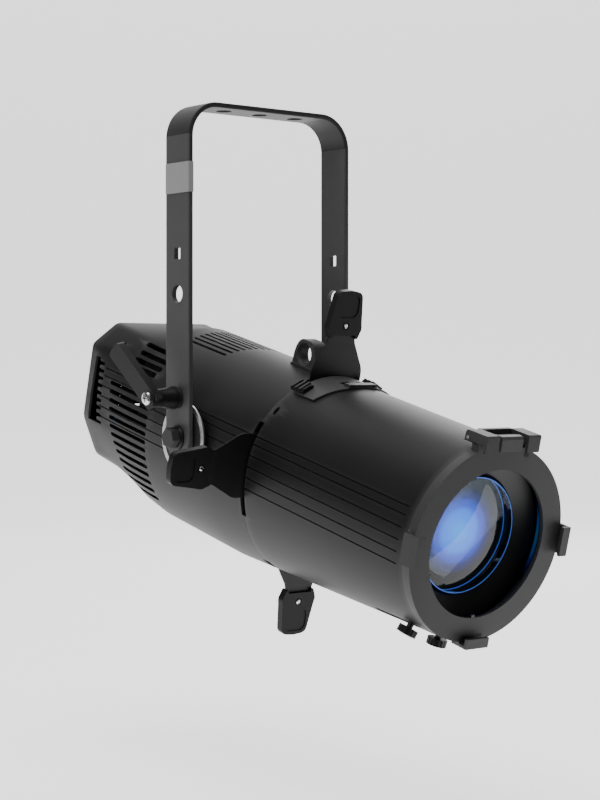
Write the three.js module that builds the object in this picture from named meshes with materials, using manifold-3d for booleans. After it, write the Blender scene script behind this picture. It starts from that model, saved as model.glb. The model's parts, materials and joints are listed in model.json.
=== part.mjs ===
// LED ellipsoidal spotlight with a zoom barrel, four framing shutters and a hanging yoke.
// Millimetres, +Z up. The origin is the centre of the yoke's middle hanging hole on its top face, and
// the lens faces -Y. Parts of the head are drawn in the barrel's own frame: x across, t along the
// optical axis towards the lens, n upwards from the axis. A point (x, t, n) is (x, -t, n) there.
import * as THREE from 'three';
import { mergeVertices } from 'three/addons/utils/BufferGeometryUtils.js';
import Module from 'manifold-3d';

const wasm = await Module();
wasm.setup();

// ---- driving dimensions ----
const GAP = 0.3;                  // between pieces that touch
const TILT_DEG = 14.15;           // lens below horizontal at rest

const YOKE_SPAN = 171.3;          // clear width between the arms
const STRAP_THICK = 4.5;
const STRAP_WIDTH = 35;
const PIVOT_DROP = 291;           // top face of the yoke to the tilt pivot
const BEND_RADIUS = 31;           // outside radius of the yoke's bends
const HANG_HOLE_R = 7;
const HANG_HOLE_PITCH = 40;
const ARM_HOLE_R = 7.75;
const ARM_HOLE_UP = 124.3;        // above the pivot
const ARM_SLOT_UP = 159.3;
const ARM_SLOT = [9, 10];         // along y, along z
const LABEL_UP = [211.5, 237.8];
const LEVER_UP = 34.3;            // tilt lever's stud above the pivot

const AXIS_DROP = 4;              // optical axis below the pivot
const HALF_WIDTH = 79;            // of the head
const TOP_RISE = 80;              // of the head above the optical axis
const WALL = 2.5;                 // of the die-cast shells
const REAR_T = -172;              // rear end of the housing
const ROUND_T = -98;              // the housing is round from here forwards
const SHUTTER_T = 84.5;           // plane of the shutters, where housing and barrel meet
const RING_T = 298;               // front face of the front ring
const RING_THICK = 8;
const RING_R = 80;
const APERTURE_R = 60.2;
const BELLY = [[-172, 78], [-135, 89.6], [-113, 94.4], [-75, 100], [35, 100], [250, 83.5], [298, 80]];
// half-planes of the rear outline: normal's angle in degrees, distance from the axis
const REAR_FACETS = [[0, 76], [50, 84.8], [90, 67], [-28, 78], [-62, 80], [-90, 78]];

const DISC_R = 31;
const DISC_X = [83.0, 84.8];
const SHUTTER_REACH = 155.5;      // tip of a shutter from the optical axis, at rest
const GRIP = [42, 36, 6.5];       // length, width at its screw end, thickness
const GRIP_SCREW = 11.5;          // from the grip's inner end
const BLADE_THICK = 0.8;
const BLADE_WIDTH = 56;
const NECK_WIDTH = 29;
const FRAME_SLOT = 6;             // depth of the colour-frame slot along t
const LIP_THICK = 2.5;

const halfTurn = Math.PI;
const rad = (degrees) => degrees * Math.PI / 180;

// ---- solids ----
function solidOf(geometry, matrix) {
  const plain = geometry.index ? geometry.toNonIndexed() : geometry.clone();
  for (const name of Object.keys(plain.attributes)) {
    if (name !== 'position') plain.deleteAttribute(name);
  }
  if (matrix) plain.applyMatrix4(matrix);
  const merged = mergeVertices(plain, 1e-4);
  return new wasm.Manifold(new wasm.Mesh({
    numProp: 3,
    vertProperties: new Float32Array(merged.attributes.position.array),
    triVerts: new Uint32Array(merged.index.array),
  }));
}

function geometryOf(solid) {
  const mesh = solid.getMesh();
  const geometry = new THREE.BufferGeometry();
  geometry.setAttribute('position', new THREE.Float32BufferAttribute(mesh.vertProperties, 3));
  geometry.setIndex(Array.from(mesh.triVerts));
  geometry.computeVertexNormals();
  return geometry;
}

const join = (solids) => solids.reduce((sum, solid) => sum.add(solid));
const cut = (solid, tools) => tools.reduce((left, tool) => left.subtract(tool), solid);

function outline(points) {
  const shape = new THREE.Shape();
  points.forEach(([a, b], i) => (i ? shape.lineTo(a, b) : shape.moveTo(a, b)));
  shape.closePath();
  return shape;
}

function prism(shape, depth, basis, origin, curveSegments = 8) {
  const geometry = new THREE.ExtrudeGeometry(shape, { depth, bevelEnabled: false, curveSegments });
  const matrix = new THREE.Matrix4().makeBasis(...basis).setPosition(...origin);
  return solidOf(geometry, matrix);
}

const axisX = new THREE.Vector3(1, 0, 0);
const axisY = new THREE.Vector3(0, 1, 0);
const axisZ = new THREE.Vector3(0, 0, 1);
const forward = new THREE.Vector3(0, -1, 0);

// shape in (y, z), drawn out along x
const prismX = (shape, x0, x1, segments) =>
  prism(shape, x1 - x0, [axisY, axisZ, axisX], [x0, 0, 0], segments);
// shape in (x, n), drawn out along t
const prismT = (shape, t0, t1, segments) =>
  prism(shape, t1 - t0, [axisX, axisZ, forward], [0, -t0, 0], segments);
// shape in (x, y), drawn out along z
const prismZ = (shape, z0, z1, segments) =>
  prism(shape, z1 - z0, [axisX, axisY, axisZ], [0, 0, z0], segments);

function box([x0, x1], [y0, y1], [z0, z1]) {
  const geometry = new THREE.BoxGeometry(x1 - x0, y1 - y0, z1 - z0);
  const centre = new THREE.Matrix4().setPosition((x0 + x1) / 2, (y0 + y1) / 2, (z0 + z1) / 2);
  return solidOf(geometry, centre);
}

const boxT = (xs, [t0, t1], ns) => box(xs, [-t1, -t0], ns);

function circle(radius, a = 0, b = 0) {
  const shape = new THREE.Shape();
  shape.absarc(a, b, radius, 0, 2 * halfTurn);
  return shape;
}

function ringShape(outer, inner, a = 0, b = 0) {
  const shape = circle(outer, a, b);
  shape.holes.push(circle(inner, a, b));
  return shape;
}

function polygonAt(radius, sides, a = 0, b = 0) {
  return outline(Array.from({ length: sides }, (_, i) => {
    const angle = 2 * halfTurn * i / sides;
    return [a + radius * Math.cos(angle), b + radius * Math.sin(angle)];
  }));
}

function roundedBox(width, height, radius, a = 0, b = 0) {
  const shape = new THREE.Shape();
  const [w, h] = [width / 2 - radius, height / 2 - radius];
  shape.absarc(a + w, b + h, radius, 0, halfTurn / 2);
  shape.absarc(a - w, b + h, radius, halfTurn / 2, halfTurn);
  shape.absarc(a - w, b - h, radius, halfTurn, 1.5 * halfTurn);
  shape.absarc(a + w, b - h, radius, 1.5 * halfTurn, 2 * halfTurn);
  shape.closePath();
  return shape;
}

// turned solid about the optical axis from [radius, t] pairs that start and end on the axis
function turned(profile, segments = 40) {
  const points = profile.map(([r, t]) => new THREE.Vector2(r, t));
  const matrix = new THREE.Matrix4().makeBasis(axisX, forward, axisZ.clone().negate());
  return solidOf(new THREE.LatheGeometry(points, segments), matrix);
}

// ---- outline of the head ----
function belly(t) {
  const i = Math.max(1, Math.min(BELLY.length - 1, BELLY.findIndex(([at]) => at > t)));
  const [[t0, b0], [t1, b1]] = [BELLY[i - 1], BELLY[i]];
  return b0 + (b1 - b0) * Math.min(1, Math.max(0, (t - t0) / (t1 - t0)));
}

function headRadius(t, angle, inset) {
  const [c, s] = [Math.cos(angle), Math.sin(angle)];
  const rise = (s > 0 ? TOP_RISE : belly(t)) - inset;
  const round = 1 / Math.hypot(c / (HALF_WIDTH - inset), s / rise);
  let facet = Infinity;
  for (const [degrees, distance] of REAR_FACETS) {
    const facing = Math.cos(angle - rad(degrees));
    const mirrored = Math.cos(angle - rad(180 - degrees));
    if (facing > 0.2) facet = Math.min(facet, (distance - inset) / facing);
    if (mirrored > 0.2) facet = Math.min(facet, (distance - inset) / mirrored);
  }
  const blend = Math.min(1, Math.max(0, (ROUND_T - t) / (ROUND_T - REAR_T)));
  return round + (facet - round) * blend;
}

// closed skin through the head's sections at the given stations
function headLoft(stations, inset, sides = 36) {
  const vertices = [];
  const faces = [];
  for (const [t, shapeT] of stations) {
    for (let k = 0; k < sides; k++) {
      const angle = 2 * halfTurn * k / sides;
      const r = headRadius(shapeT, angle, inset);
      vertices.push(r * Math.cos(angle), -t, r * Math.sin(angle));
    }
  }
  const last = (stations.length - 1) * sides;
  for (let row = 0; row < last; row += sides) {
    for (let k = 0; k < sides; k++) {
      const next = (k + 1) % sides;
      faces.push(row + k, row + next, row + sides + next, row + k, row + sides + next, row + sides + k);
    }
  }
  const rear = vertices.length / 3;
  vertices.push(0, -stations[0][0], 0, 0, -stations[stations.length - 1][0], 0);
  for (let k = 0; k < sides; k++) {
    const next = (k + 1) % sides;
    faces.push(rear, next, k, rear + 1, last + k, last + next);
  }
  const geometry = new THREE.BufferGeometry();
  geometry.setAttribute('position', new THREE.Float32BufferAttribute(vertices, 3));
  geometry.setIndex(faces);
  return solidOf(geometry);
}

const stationsOf = (ts) => ts.map((t) => [t, t]);

// ---- materials ----
function paint(color, roughness, metalness = 0) {
  return () => new THREE.MeshStandardMaterial({ color, roughness, metalness });
}
const castBlack = paint(0x2b2b2d, 0.55, 0.3);
const strapBlack = paint(0x303032, 0.5, 0.3);
const moulded = paint(0x161617, 0.45);
const bladeBlack = paint(0x222223, 0.5, 0.6);
const labelGrey = paint(0xa6a6a6, 0.6);
const brightSteel = paint(0xb9babb, 0.35, 1);
const zincSteel = paint(0x8c8d90, 0.4, 1);
const aluminium = paint(0xa8aaad, 0.45, 1);
const glass = paint(0xcfdcea, 0.05);
const boardGreen = paint(0x1f5a35, 0.6);
const ledBlue = paint(0x3f8cff, 0.4);
const displayDark = paint(0x0c1016, 0.2);
const connectorBlue = paint(0x2a4f9a, 0.5);

// ---- scene graph ----
const group = new THREE.Group();
const head = new THREE.Group();
head.position.set(0, 0, -PIVOT_DROP);
head.rotation.x = rad(TILT_DEG);
const barrel = new THREE.Group();
barrel.position.set(0, 0, -AXIS_DROP);
head.add(barrel);
group.add(head);

function place(parent, name, solid, material) {
  const mesh = new THREE.Mesh(geometryOf(solid), material());
  mesh.name = name;
  parent.add(mesh);
  return mesh;
}

// ---- yoke ----
function yokeStrap() {
  const half = YOKE_SPAN / 2 + STRAP_THICK;
  const bottom = -PIVOT_DROP - STRAP_WIDTH;
  const inner = BEND_RADIUS - STRAP_THICK;
  const section = new THREE.Shape();
  section.moveTo(-half, bottom);
  section.lineTo(-half, -BEND_RADIUS);
  section.absarc(-half + BEND_RADIUS, -BEND_RADIUS, BEND_RADIUS, halfTurn, halfTurn / 2, true);
  section.lineTo(half - BEND_RADIUS, 0);
  section.absarc(half - BEND_RADIUS, -BEND_RADIUS, BEND_RADIUS, halfTurn / 2, 0, true);
  section.lineTo(half, bottom);
  section.lineTo(half - STRAP_THICK, bottom);
  section.lineTo(half - STRAP_THICK, -BEND_RADIUS);
  section.absarc(half - BEND_RADIUS, -BEND_RADIUS, inner, 0, halfTurn / 2);
  section.lineTo(-half + BEND_RADIUS, -STRAP_THICK);
  section.absarc(-half + BEND_RADIUS, -BEND_RADIUS, inner, halfTurn / 2, halfTurn);
  section.lineTo(-half + STRAP_THICK, bottom);
  const side = new THREE.Shape();
  side.moveTo(-STRAP_WIDTH / 2, 1);
  side.lineTo(-STRAP_WIDTH / 2, -PIVOT_DROP);
  side.absarc(0, -PIVOT_DROP, STRAP_WIDTH / 2, halfTurn, 2 * halfTurn);
  side.lineTo(STRAP_WIDTH / 2, 1);
  const strap = prism(section, STRAP_WIDTH, [axisX, axisZ, forward], [0, STRAP_WIDTH / 2, 0], 5);
  const through = [];
  for (const i of [-1, 0, 1]) {
    through.push(prismZ(circle(HANG_HOLE_R, i * HANG_HOLE_PITCH, 0), -STRAP_THICK - 1, 1, 7));
  }
  const armHoles = [
    circle(ARM_HOLE_R, 0, ARM_HOLE_UP - PIVOT_DROP),
    roundedBox(ARM_SLOT[0], ARM_SLOT[1], 1.2, 0, ARM_SLOT_UP - PIVOT_DROP),
    circle(4.6, 0, -PIVOT_DROP),
  ];
  for (const hole of armHoles) through.push(prismX(hole, -half - 1, half + 1, 6));
  through.push(prismX(circle(3.4, 0, LEVER_UP - PIVOT_DROP), -half - 1, 0, 6));
  return cut(strap.intersect(prismX(side, -half - 1, half + 1, 7)), through);
}

function yokeLabel() {
  const x = -YOKE_SPAN / 2 - STRAP_THICK - GAP;
  const y = -STRAP_WIDTH / 2 - GAP;
  const thick = 0.5;
  const band = outline([
    [x - thick, STRAP_WIDTH / 2 - 1], [x - thick, y - thick], [x + STRAP_THICK, y - thick],
    [x + STRAP_THICK, y], [x, y], [x, STRAP_WIDTH / 2 - 1],
  ]);
  return prismZ(band, LABEL_UP[0] - PIVOT_DROP, LABEL_UP[1] - PIVOT_DROP);
}

// block above the disc's rim, with a lip that reaches down behind the disc
function clampJaw() {
  const jaw = outline([
    [-HALF_WIDTH - 0.8, 25], [-HALF_WIDTH - 0.8, 44], [-YOKE_SPAN / 2 + GAP, 44],
    [-YOKE_SPAN / 2 + GAP, 31.6], [-DISC_X[0] + GAP, 31.6], [-DISC_X[0] + GAP, 25],
  ]);
  const block = prism(jaw, 18, [axisX, axisZ, forward], [0, 9, -PIVOT_DROP], 8);
  return cut(block, [prismX(circle(3.4, 0, LEVER_UP - PIVOT_DROP), -100, -70, 7)]);
}

place(group, 'yoke', yokeStrap(), strapBlack);
place(group, 'yoke_label', yokeLabel(), labelGrey);
place(group, 'clamp_jaw', clampJaw(), zincSteel);

// ---- tilt lever, drawn about its stud's axis ----
const lever = new THREE.Group();
lever.position.set(-YOKE_SPAN / 2 - STRAP_THICK, 0, LEVER_UP - PIVOT_DROP);
group.add(lever);
const LEVER_HUB = [3.6, 30.5];    // outwards from the yoke arm
const LEVER_ANGLE = rad(51);      // handle above the rearward direction

function leverHandle() {
  const hub = prismX(ringShape(8.6, 3.4), -LEVER_HUB[1], -LEVER_HUB[0], 8);
  const blade = new THREE.Shape();
  blade.moveTo(-2, 7.4);
  blade.lineTo(18, 6);
  blade.lineTo(56, 8.6);
  blade.absarc(57, 3.6, 5, halfTurn / 2, 0, true);
  blade.lineTo(62, -3.6);
  blade.absarc(57, -3.6, 5, 0, -halfTurn / 2, true);
  blade.lineTo(18, -7);
  blade.lineTo(-2, -7.4);
  const [c, s] = [Math.cos(LEVER_ANGLE), Math.sin(LEVER_ANGLE)];
  const lean = 0.13;
  const along = new THREE.Vector3(-lean, c, s).normalize();
  const across = new THREE.Vector3(0, -s, c);
  const outwards = new THREE.Vector3().crossVectors(along, across).normalize();
  const start = outwards.clone().multiplyScalar(-24);
  const handle = prism(blade, 7.5, [along, across, outwards], start.toArray(), 5);
  return cut(hub.add(handle), [prismX(circle(3.4), -LEVER_HUB[1] - 8, -LEVER_HUB[0] + 1, 8)]);
}

function crossHeadScrew(headR, headThick, shankR, shankLength, slot) {
  const headSolid = prismX(circle(headR), -headThick, 0, 7);
  const shank = prismX(circle(shankR), -0.1, shankLength, 8);
  const depth = headThick * 0.5;
  const bars = [
    box([-headThick - 1, -headThick + depth], [-headR * 0.55, headR * 0.55], [-slot / 2, slot / 2]),
    box([-headThick - 1, -headThick + depth], [-slot / 2, slot / 2], [-headR * 0.55, headR * 0.55]),
  ];
  return cut(headSolid.add(shank), bars);
}

place(lever, 'lever_collar', prismX(ringShape(9.3, 3.4), -LEVER_HUB[0] + GAP, -GAP, 8), zincSteel);
place(lever, 'tilt_lever', leverHandle(), moulded);
const leverScrew = place(lever, 'lever_screw', crossHeadScrew(5.9, 3.4, 2.9, 3, 1.4), brightSteel);
leverScrew.position.x = -LEVER_HUB[1] - GAP;
const studLength = LEVER_HUB[1] - 4;
place(lever, 'clamp_stud', prismX(circle(3.1), -studLength, STRAP_THICK + 5.5, 7), zincSteel);

// ---- shells of the head ----
const fullTurn = 360;
const rotatedAboutAxis = (solid, degrees) => solid.rotate([0, -degrees, 0]);

// slot along t through the shell at an angle about the optical axis
function radialSlot(degrees, t0, t1, width) {
  return rotatedAboutAxis(boxT([50, 110], [t0, t1], [-width / 2, width / 2]), degrees);
}

function shutterNotches(depth) {
  const tools = [];
  for (const side of [0, 90, 180, 270]) {
    const reach = boxT([40, 120], [SHUTTER_T - depth, SHUTTER_T + depth], [-41, 41]);
    tools.push(rotatedAboutAxis(reach, side));
  }
  // the belly is deep, so the bottom shutter's grip slides into the shell
  tools.push(boxT([-21, 21], [SHUTTER_T - 4, SHUTTER_T + 5.2], [-110, -60]));
  return tools;
}

// angle, rear end and front end of each slot high on the side
const UPPER_SLOTS = [[30, -104, -75], [35, -114, -72], [41, -114, -69], [48, -116, -66]];

function ventSlots() {
  const tools = [];
  for (let i = 0; i < 13; i++) {
    const n = 19 - 7.7 * i;
    const rear = -134 + 1.7 * i;
    tools.push(boxT([-95, -25], [rear, -64], [n - 1.9, n + 1.9]));
    tools.push(boxT([25, 95], [rear, -64], [n - 1.9, n + 1.9]));
  }
  for (const [degrees, t0, t1] of UPPER_SLOTS) {
    tools.push(radialSlot(degrees, t0, t1, 4.4));
    tools.push(radialSlot(180 - degrees, t0, t1, 4.4));
  }
  for (let i = 0; i < 13; i++) {
    const x = -34 + 5.7 * i;
    tools.push(boxT([x - 1.3, x + 1.3], [-80, -22 + 1.6 * i], [50, 100]));
  }
  for (const side of [[-95, -60], [60, 95]]) {
    tools.push(boxT(side, [-166, -146], [-27, 35]));
  }
  return tools;
}

function rearHousing() {
  const front = SHUTTER_T - GAP / 2;
  const ts = [REAR_T, -135, ROUND_T, -75, 35, front];
  const outer = headLoft(stationsOf(ts), 0);
  const rearRoom = [[REAR_T - 5, REAR_T], [REAR_T + 4, REAR_T]];
  const inner = headLoft([...rearRoom, ...stationsOf(ts.slice(1, -1)), [front + 5, front]], WALL);
  const bolt = prismX(circle(4.4, 0, AXIS_DROP), -95, 95, 7);
  const tools = [inner, bolt, ...ventSlots(), ...shutterNotches(3)];
  const bosses = [-1, 1].map((side) => {
    const xs = [side * (HALF_WIDTH - 4), side * (DISC_X[0] - GAP)].sort((a, b) => a - b);
    return prismX(ringShape(22, 4.4, 0, AXIS_DROP), xs[0], xs[1], 12);
  });
  return join([cut(outer, tools), ...bosses]);
}

const KNOB_ANGLES = { zoom: -117, focus: -99 };
const KNOB_SLOTS = { zoom: [227, 278], focus: [243, 281] };

function lensBarrel() {
  const [rear, front] = [SHUTTER_T + GAP / 2, RING_T - RING_THICK - GAP];
  const outer = headLoft(stationsOf([rear, 250, front]), 0);
  const inner = headLoft([[rear - 5, rear], [250, 250], [front + 5, front]], WALL);
  const tools = [inner, ...shutterNotches(3)];
  for (const name of ['zoom', 'focus']) {
    tools.push(radialSlot(KNOB_ANGLES[name], KNOB_SLOTS[name][0], KNOB_SLOTS[name][1], 7));
  }
  tools.push(boxT([-17, 17], [112, 120], [40, 100]));
  return cut(outer, tools);
}

function rearPanel() {
  const back = REAR_T + 0.5;
  const plate = headLoft([[back, REAR_T], [back + 2.5, REAR_T]], WALL + GAP);
  const holes = [
    prismT(roundedBox(52, 24, 2, 0, 38), back - 1, back + 4, 3),
    prismT(circle(12.4, -36, -36), back - 1, back + 4, 8),
    prismT(circle(12.4, -6, -36), back - 1, back + 4, 8),
    prismT(circle(10.4, 24, -36), back - 1, back + 4, 8),
    prismT(circle(10.4, 50, -36), back - 1, back + 4, 8),
  ];
  for (let i = 0; i < 4; i++) holes.push(prismT(circle(4.3, -24 + 16 * i, 12), back - 1, back + 4, 5));
  for (let i = 0; i < 5; i++) {
    holes.push(boxT([-40, 40], [back - 1, back + 4], [-14 + 4.6 * i, -11.6 + 4.6 * i]));
  }
  return cut(plate, holes);
}

place(barrel, 'rear_housing', rearHousing(), castBlack);
place(barrel, 'lens_barrel', lensBarrel(), castBlack);
place(barrel, 'rear_panel', rearPanel(), moulded);

// ---- rear panel fittings ----
function socket(x, n, outerR, rimR, boreR) {
  const body = prismT(circle(outerR, x, n), REAR_T + 0.5, REAR_T + 9, 7);
  const rim = prismT(circle(rimR, x, n), REAR_T - 1.6, REAR_T + GAP - 0.1, 7);
  const bore = prismT(circle(boreR, x, n), REAR_T - 3, REAR_T + 6, 7);
  const neck = prismT(circle(outerR, x, n), REAR_T - 1, REAR_T + 1, 7);
  return cut(join([body, rim, neck]), [bore]);
}
place(barrel, 'power_inlet', socket(-36, -36, 12, 13.6, 9.5), connectorBlue);
place(barrel, 'power_outlet', socket(-6, -36, 12, 13.6, 9.5), labelGrey);
place(barrel, 'data_in', socket(24, -36, 10, 11.6, 8), aluminium);
place(barrel, 'data_out', socket(50, -36, 10, 11.6, 8), aluminium);
const displaySlab = prismT(roundedBox(51.2, 23.2, 1.6, 0, 38), REAR_T + 0.2, REAR_T + 6, 3);
place(barrel, 'display', displaySlab, displayDark);
for (let i = 0; i < 4; i++) {
  const x = -24 + 16 * i;
  const cap = prismT(circle(3.9, x, 12), REAR_T - 1.4, REAR_T + 3.6, 5);
  const flange = prismT(circle(5.2, x, 12), REAR_T + 3.4, REAR_T + 5, 5);
  place(barrel, `menu_button_${i + 1}`, cap.add(flange), moulded);
}

// ---- fan, heat sink and light engine ----
const FAN_T = [-160, -136];
function fanFrame() {
  const [t0, t1] = FAN_T;
  const frame = prismT(roundedBox(92, 92, 5), t0, t1, 3);
  const spokes = [0, 60, 120].map((turn) =>
    rotatedAboutAxis(boxT([-44.5, 44.5], [t1 - 2.5, t1], [-2, 2]), turn));
  const hub = prismT(circle(17), t1 - 2.5, t1, 7);
  return join([cut(frame, [prismT(circle(44), t0 - 1, t1 + 1, 7)]), ...spokes, hub]);
}

function fanRotor() {
  const [t0, t1] = FAN_T;
  const hub = prismT(circle(18), t0 + 2, t1 - 3.2, 7);
  const blades = [];
  for (let i = 0; i < 7; i++) {
    const blade = box([15, 41.5], [-1, 1], [-9, 9]).rotate([38, 0, 0]);
    blades.push(rotatedAboutAxis(blade.translate([0, -(t0 + t1) / 2 + 0.6, 0]), i * fullTurn / 7));
  }
  return join([hub, ...blades]);
}

function heatSink() {
  const base = boxT([-46, 46], [-72, -66], [-48, 48]);
  const fins = [];
  for (let i = 0; i < 12; i++) {
    const x = -44 + 8 * i;
    fins.push(boxT([x - 1, x + 1], [-128, -70], [-48, 48]));
  }
  return join([base, ...fins]);
}

place(barrel, 'fan_frame', fanFrame(), moulded);
place(barrel, 'fan_rotor', fanRotor(), moulded);
place(barrel, 'heat_sink', heatSink(), aluminium);
place(barrel, 'led_board', prismT(circle(34), -72 + 6 + GAP, -63.5, 8), boardGreen);
place(barrel, 'led_array', prismT(circle(17), -63.2, -60.5, 8), ledBlue);

// hollow reflector that mixes the light, flared towards the gate
const lightPipe = cut(
  turned([[0, -60.2], [24, -60.2], [24, -57], [21, -57], [38, 30], [44, 30], [44, 33], [0, 33]], 12),
  [turned([[0, -62], [17.5, -62], [18.5, -60.2], [35.5, 33], [35.7, 36], [0, 36]], 12)],
);
place(barrel, 'light_pipe', lightPipe, aluminium);

// plate across the housing that carries the light engine
function bulkhead() {
  const plate = headLoft([[-57, 0], [-54, 0]], WALL + GAP);
  return cut(plate, [prismT(circle(24.4), -60, -50, 14), boxT([-50, 50], [-60, -50], [-110, -68])]);
}
place(barrel, 'bulkhead', bulkhead().subtract(turned([[0, -62], [25, -62], [25, -50], [0, -50]], 12)),
  zincSteel);
place(barrel, 'driver_board', boxT([-42, 42], [-45, 60], [-77, -74.5]), boardGreen);

// ---- condenser, gate plates and shutters ----
function lensSolid(radius, t, edge, bulge, segments = 24) {
  const profile = [[0, t]];
  profile.push([radius, t]);
  profile.push([radius, t + edge]);
  const steps = 4;
  for (let i = 1; i <= steps; i++) {
    const r = radius * (1 - i / steps);
    profile.push([r, t + edge + bulge * (1 - (r / radius) ** 2)]);
  }
  return turned(profile, segments);
}
place(barrel, 'condenser_lens', lensSolid(43, 48, 4, 12), glass);

function gatePlate(t0, t1, apertureR, lensSeat) {
  const plate = headLoft([[t0, t1 + 6], [t1, t1 + 6]], WALL + GAP);
  const seat = lensSeat ? [prismT(ringShape(47, 44.2), 46, t0 + 0.5, 7)] : [];
  return cut(join([plate, ...seat]), [prismT(circle(apertureR), t0 - 1, t1 + 1, 7)]);
}
place(barrel, 'gate_plate_rear', gatePlate(76.5, 79, 37, true), zincSteel);
place(barrel, 'gate_plate_front', gatePlate(90, 92, 37, false), zincSteel);

// a shutter is drawn pointing along +x, in the plane of x and n
function shutterBlade() {
  const neck = SHUTTER_REACH - GRIP[0];
  const [half, slim] = [BLADE_WIDTH / 2, NECK_WIDTH / 2];
  const tongue = slim - 4;
  return outline([
    [39, -half], [84, -half], [90, -half + 1.5], [96, -half + 5], [neck - 4, -slim], [neck + 3, -slim],
    [neck + 3, -tongue], [neck + 24, -tongue], [neck + 24, tongue], [neck + 3, tongue],
    [neck + 3, slim], [neck - 4, slim], [96, half - 5], [90, half - 1.5], [84, half], [39, half],
  ]);
}

function shutterGrip(plane) {
  const [length, width, thick] = GRIP;
  const neck = SHUTTER_REACH - length;
  const shape = new THREE.Shape();
  const half = width / 2;
  shape.moveTo(neck, -half + 3);
  shape.lineTo(neck + 4, -half + 0.5);
  shape.quadraticCurveTo(neck + 10, -half - 0.3, neck + 16, -half + 0.8);
  shape.lineTo(SHUTTER_REACH - 6, -half + 3.8);
  shape.quadraticCurveTo(SHUTTER_REACH - 0.5, -half + 5, SHUTTER_REACH, 0);
  shape.quadraticCurveTo(SHUTTER_REACH - 0.5, half - 5, SHUTTER_REACH - 6, half - 3.8);
  shape.lineTo(neck + 16, half - 0.8);
  shape.quadraticCurveTo(neck + 10, half + 0.3, neck + 4, half - 0.5);
  shape.lineTo(neck, half - 3);
  const grip = prismT(shape, plane - thick / 2, plane + thick / 2, 3);
  const deep = BLADE_THICK / 2 + GAP;
  const mouth = boxT([neck - 1, neck + 3.4], [plane - deep, plane + deep], [-15, 15]);
  const pocket = boxT([neck + 3, neck + 24.4], [plane - deep, plane + deep], [-11, 11]);
  const bore = prismT(circle(1.8, neck + GRIP_SCREW, 0), plane - thick, plane + thick, 6);
  const sink = prismT(circle(3.4, neck + GRIP_SCREW, 0), plane + thick / 2 - 1.2, plane + thick, 7);
  return cut(grip, [mouth, pocket, bore, sink]);
}

function shutterScrew(plane) {
  const x = SHUTTER_REACH - GRIP[0] + GRIP_SCREW;
  const thick = GRIP[2];
  const headTop = plane + thick / 2 + 0.6;
  const cap = prismT(circle(2.9, x, 0), plane + thick / 2 - 0.9, headTop, 7);
  const shank = prismT(circle(1.4, x, 0), plane - thick / 2 + 0.5, headTop - 0.3, 8);
  const slots = [
    boxT([x - 1.6, x + 1.6], [headTop - 0.7, headTop + 1], [-0.4, 0.4]),
    boxT([x - 0.4, x + 0.4], [headTop - 0.7, headTop + 1], [-1.6, 1.6]),
  ];
  return cut(cap.add(shank), slots);
}

// side, direction about the optical axis, and how far it lies off centre
const SHUTTERS = [['right', 0, 0], ['top', 90, -3], ['left', 180, -3], ['bottom', 270, 0]];
for (const [side, degrees, offset] of SHUTTERS) {
  // the two pairs slide in planes side by side, so that they cross without touching
  const plane = SHUTTER_T + (degrees % 180 ? 1 : -1);
  const bladeSolid = cut(
    prismT(shutterBlade(), plane - BLADE_THICK / 2, plane + BLADE_THICK / 2),
    [prismT(circle(1.8, SHUTTER_REACH - GRIP[0] + GRIP_SCREW, 0), plane - 5, plane + 5, 6)],
  );
  const aside = (solid) => rotatedAboutAxis(solid.translate([0, 0, offset]), degrees);
  place(barrel, `shutter_blade_${side}`, aside(bladeSolid), bladeBlack);
  place(barrel, `shutter_grip_${side}`, aside(shutterGrip(plane)), moulded);
  place(barrel, `shutter_screw_${side}`, aside(shutterScrew(plane)), brightSteel);
}

// ---- top of the head: safety eye, accessory cover and clips ----
function safetyEye() {
  const foot = 79.6;
  const lug = new THREE.Shape();
  lug.moveTo(-71, foot);
  lug.lineTo(-71, foot + 4);
  lug.lineTo(-63.5, foot + 21);
  lug.quadraticCurveTo(-61, foot + 24.5, -55, foot + 24.5);
  lug.lineTo(-50, foot + 24.5);
  lug.quadraticCurveTo(-39, foot + 24, -38, foot + 12);
  lug.lineTo(-37, foot);
  lug.holes.push(circle(7.6, -51, foot + 11.5));
  const skin = headLoft(stationsOf([20, 80]), -GAP);
  return cut(prismX(lug, -6.5, 6.5, 7), [skin]);
}
place(barrel, 'safety_eye', safetyEye(), castBlack);

const COVER_T = [91, 126];
const COVER_ANGLES = [57, 123];
function accessoryCover() {
  const [t0, t1] = COVER_T;
  const shell = cut(headLoft(stationsOf([t0, t1]), -GAP - 1.6), [
    headLoft([[t0 - 1, t0], [t1 + 1, t1]], -GAP),
  ]);
  const wedge = outline([
    [0, 0],
    [140 * Math.cos(rad(COVER_ANGLES[0])), 140 * Math.sin(rad(COVER_ANGLES[0]))],
    [0, 180],
    [140 * Math.cos(rad(COVER_ANGLES[1])), 140 * Math.sin(rad(COVER_ANGLES[1]))],
  ]);
  const arc = shell.intersect(prismT(wedge, t0 - 2, t1 + 2));
  const hood = boxT([-15, 15], [t1 - 7, t1], [79, 83.2]);
  const skin = headLoft([[t0 - 1, t0], [t1 + 1, t1]], -GAP);
  const mouth = boxT([-13, 13], [t1 - 16, t1 - 1.6], [70, 81.8]);
  return cut(arc.add(cut(hood, [skin])), [mouth]);
}
place(barrel, 'accessory_cover', accessoryCover(), castBlack);

function coverClip(degrees) {
  const base = boxT([82.3, 85.2], [86, 103], [-6, 6]);
  const ribs = [89, 93, 97].map((t) => boxT([85, 86.4], [t, t + 2], [-6, 6]));
  const clip = join([base, ...ribs]);
  return rotatedAboutAxis(clip, degrees);
}
place(barrel, 'cover_clip_left', coverClip(118), moulded);
place(barrel, 'cover_clip_right', coverClip(62), moulded);

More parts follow.
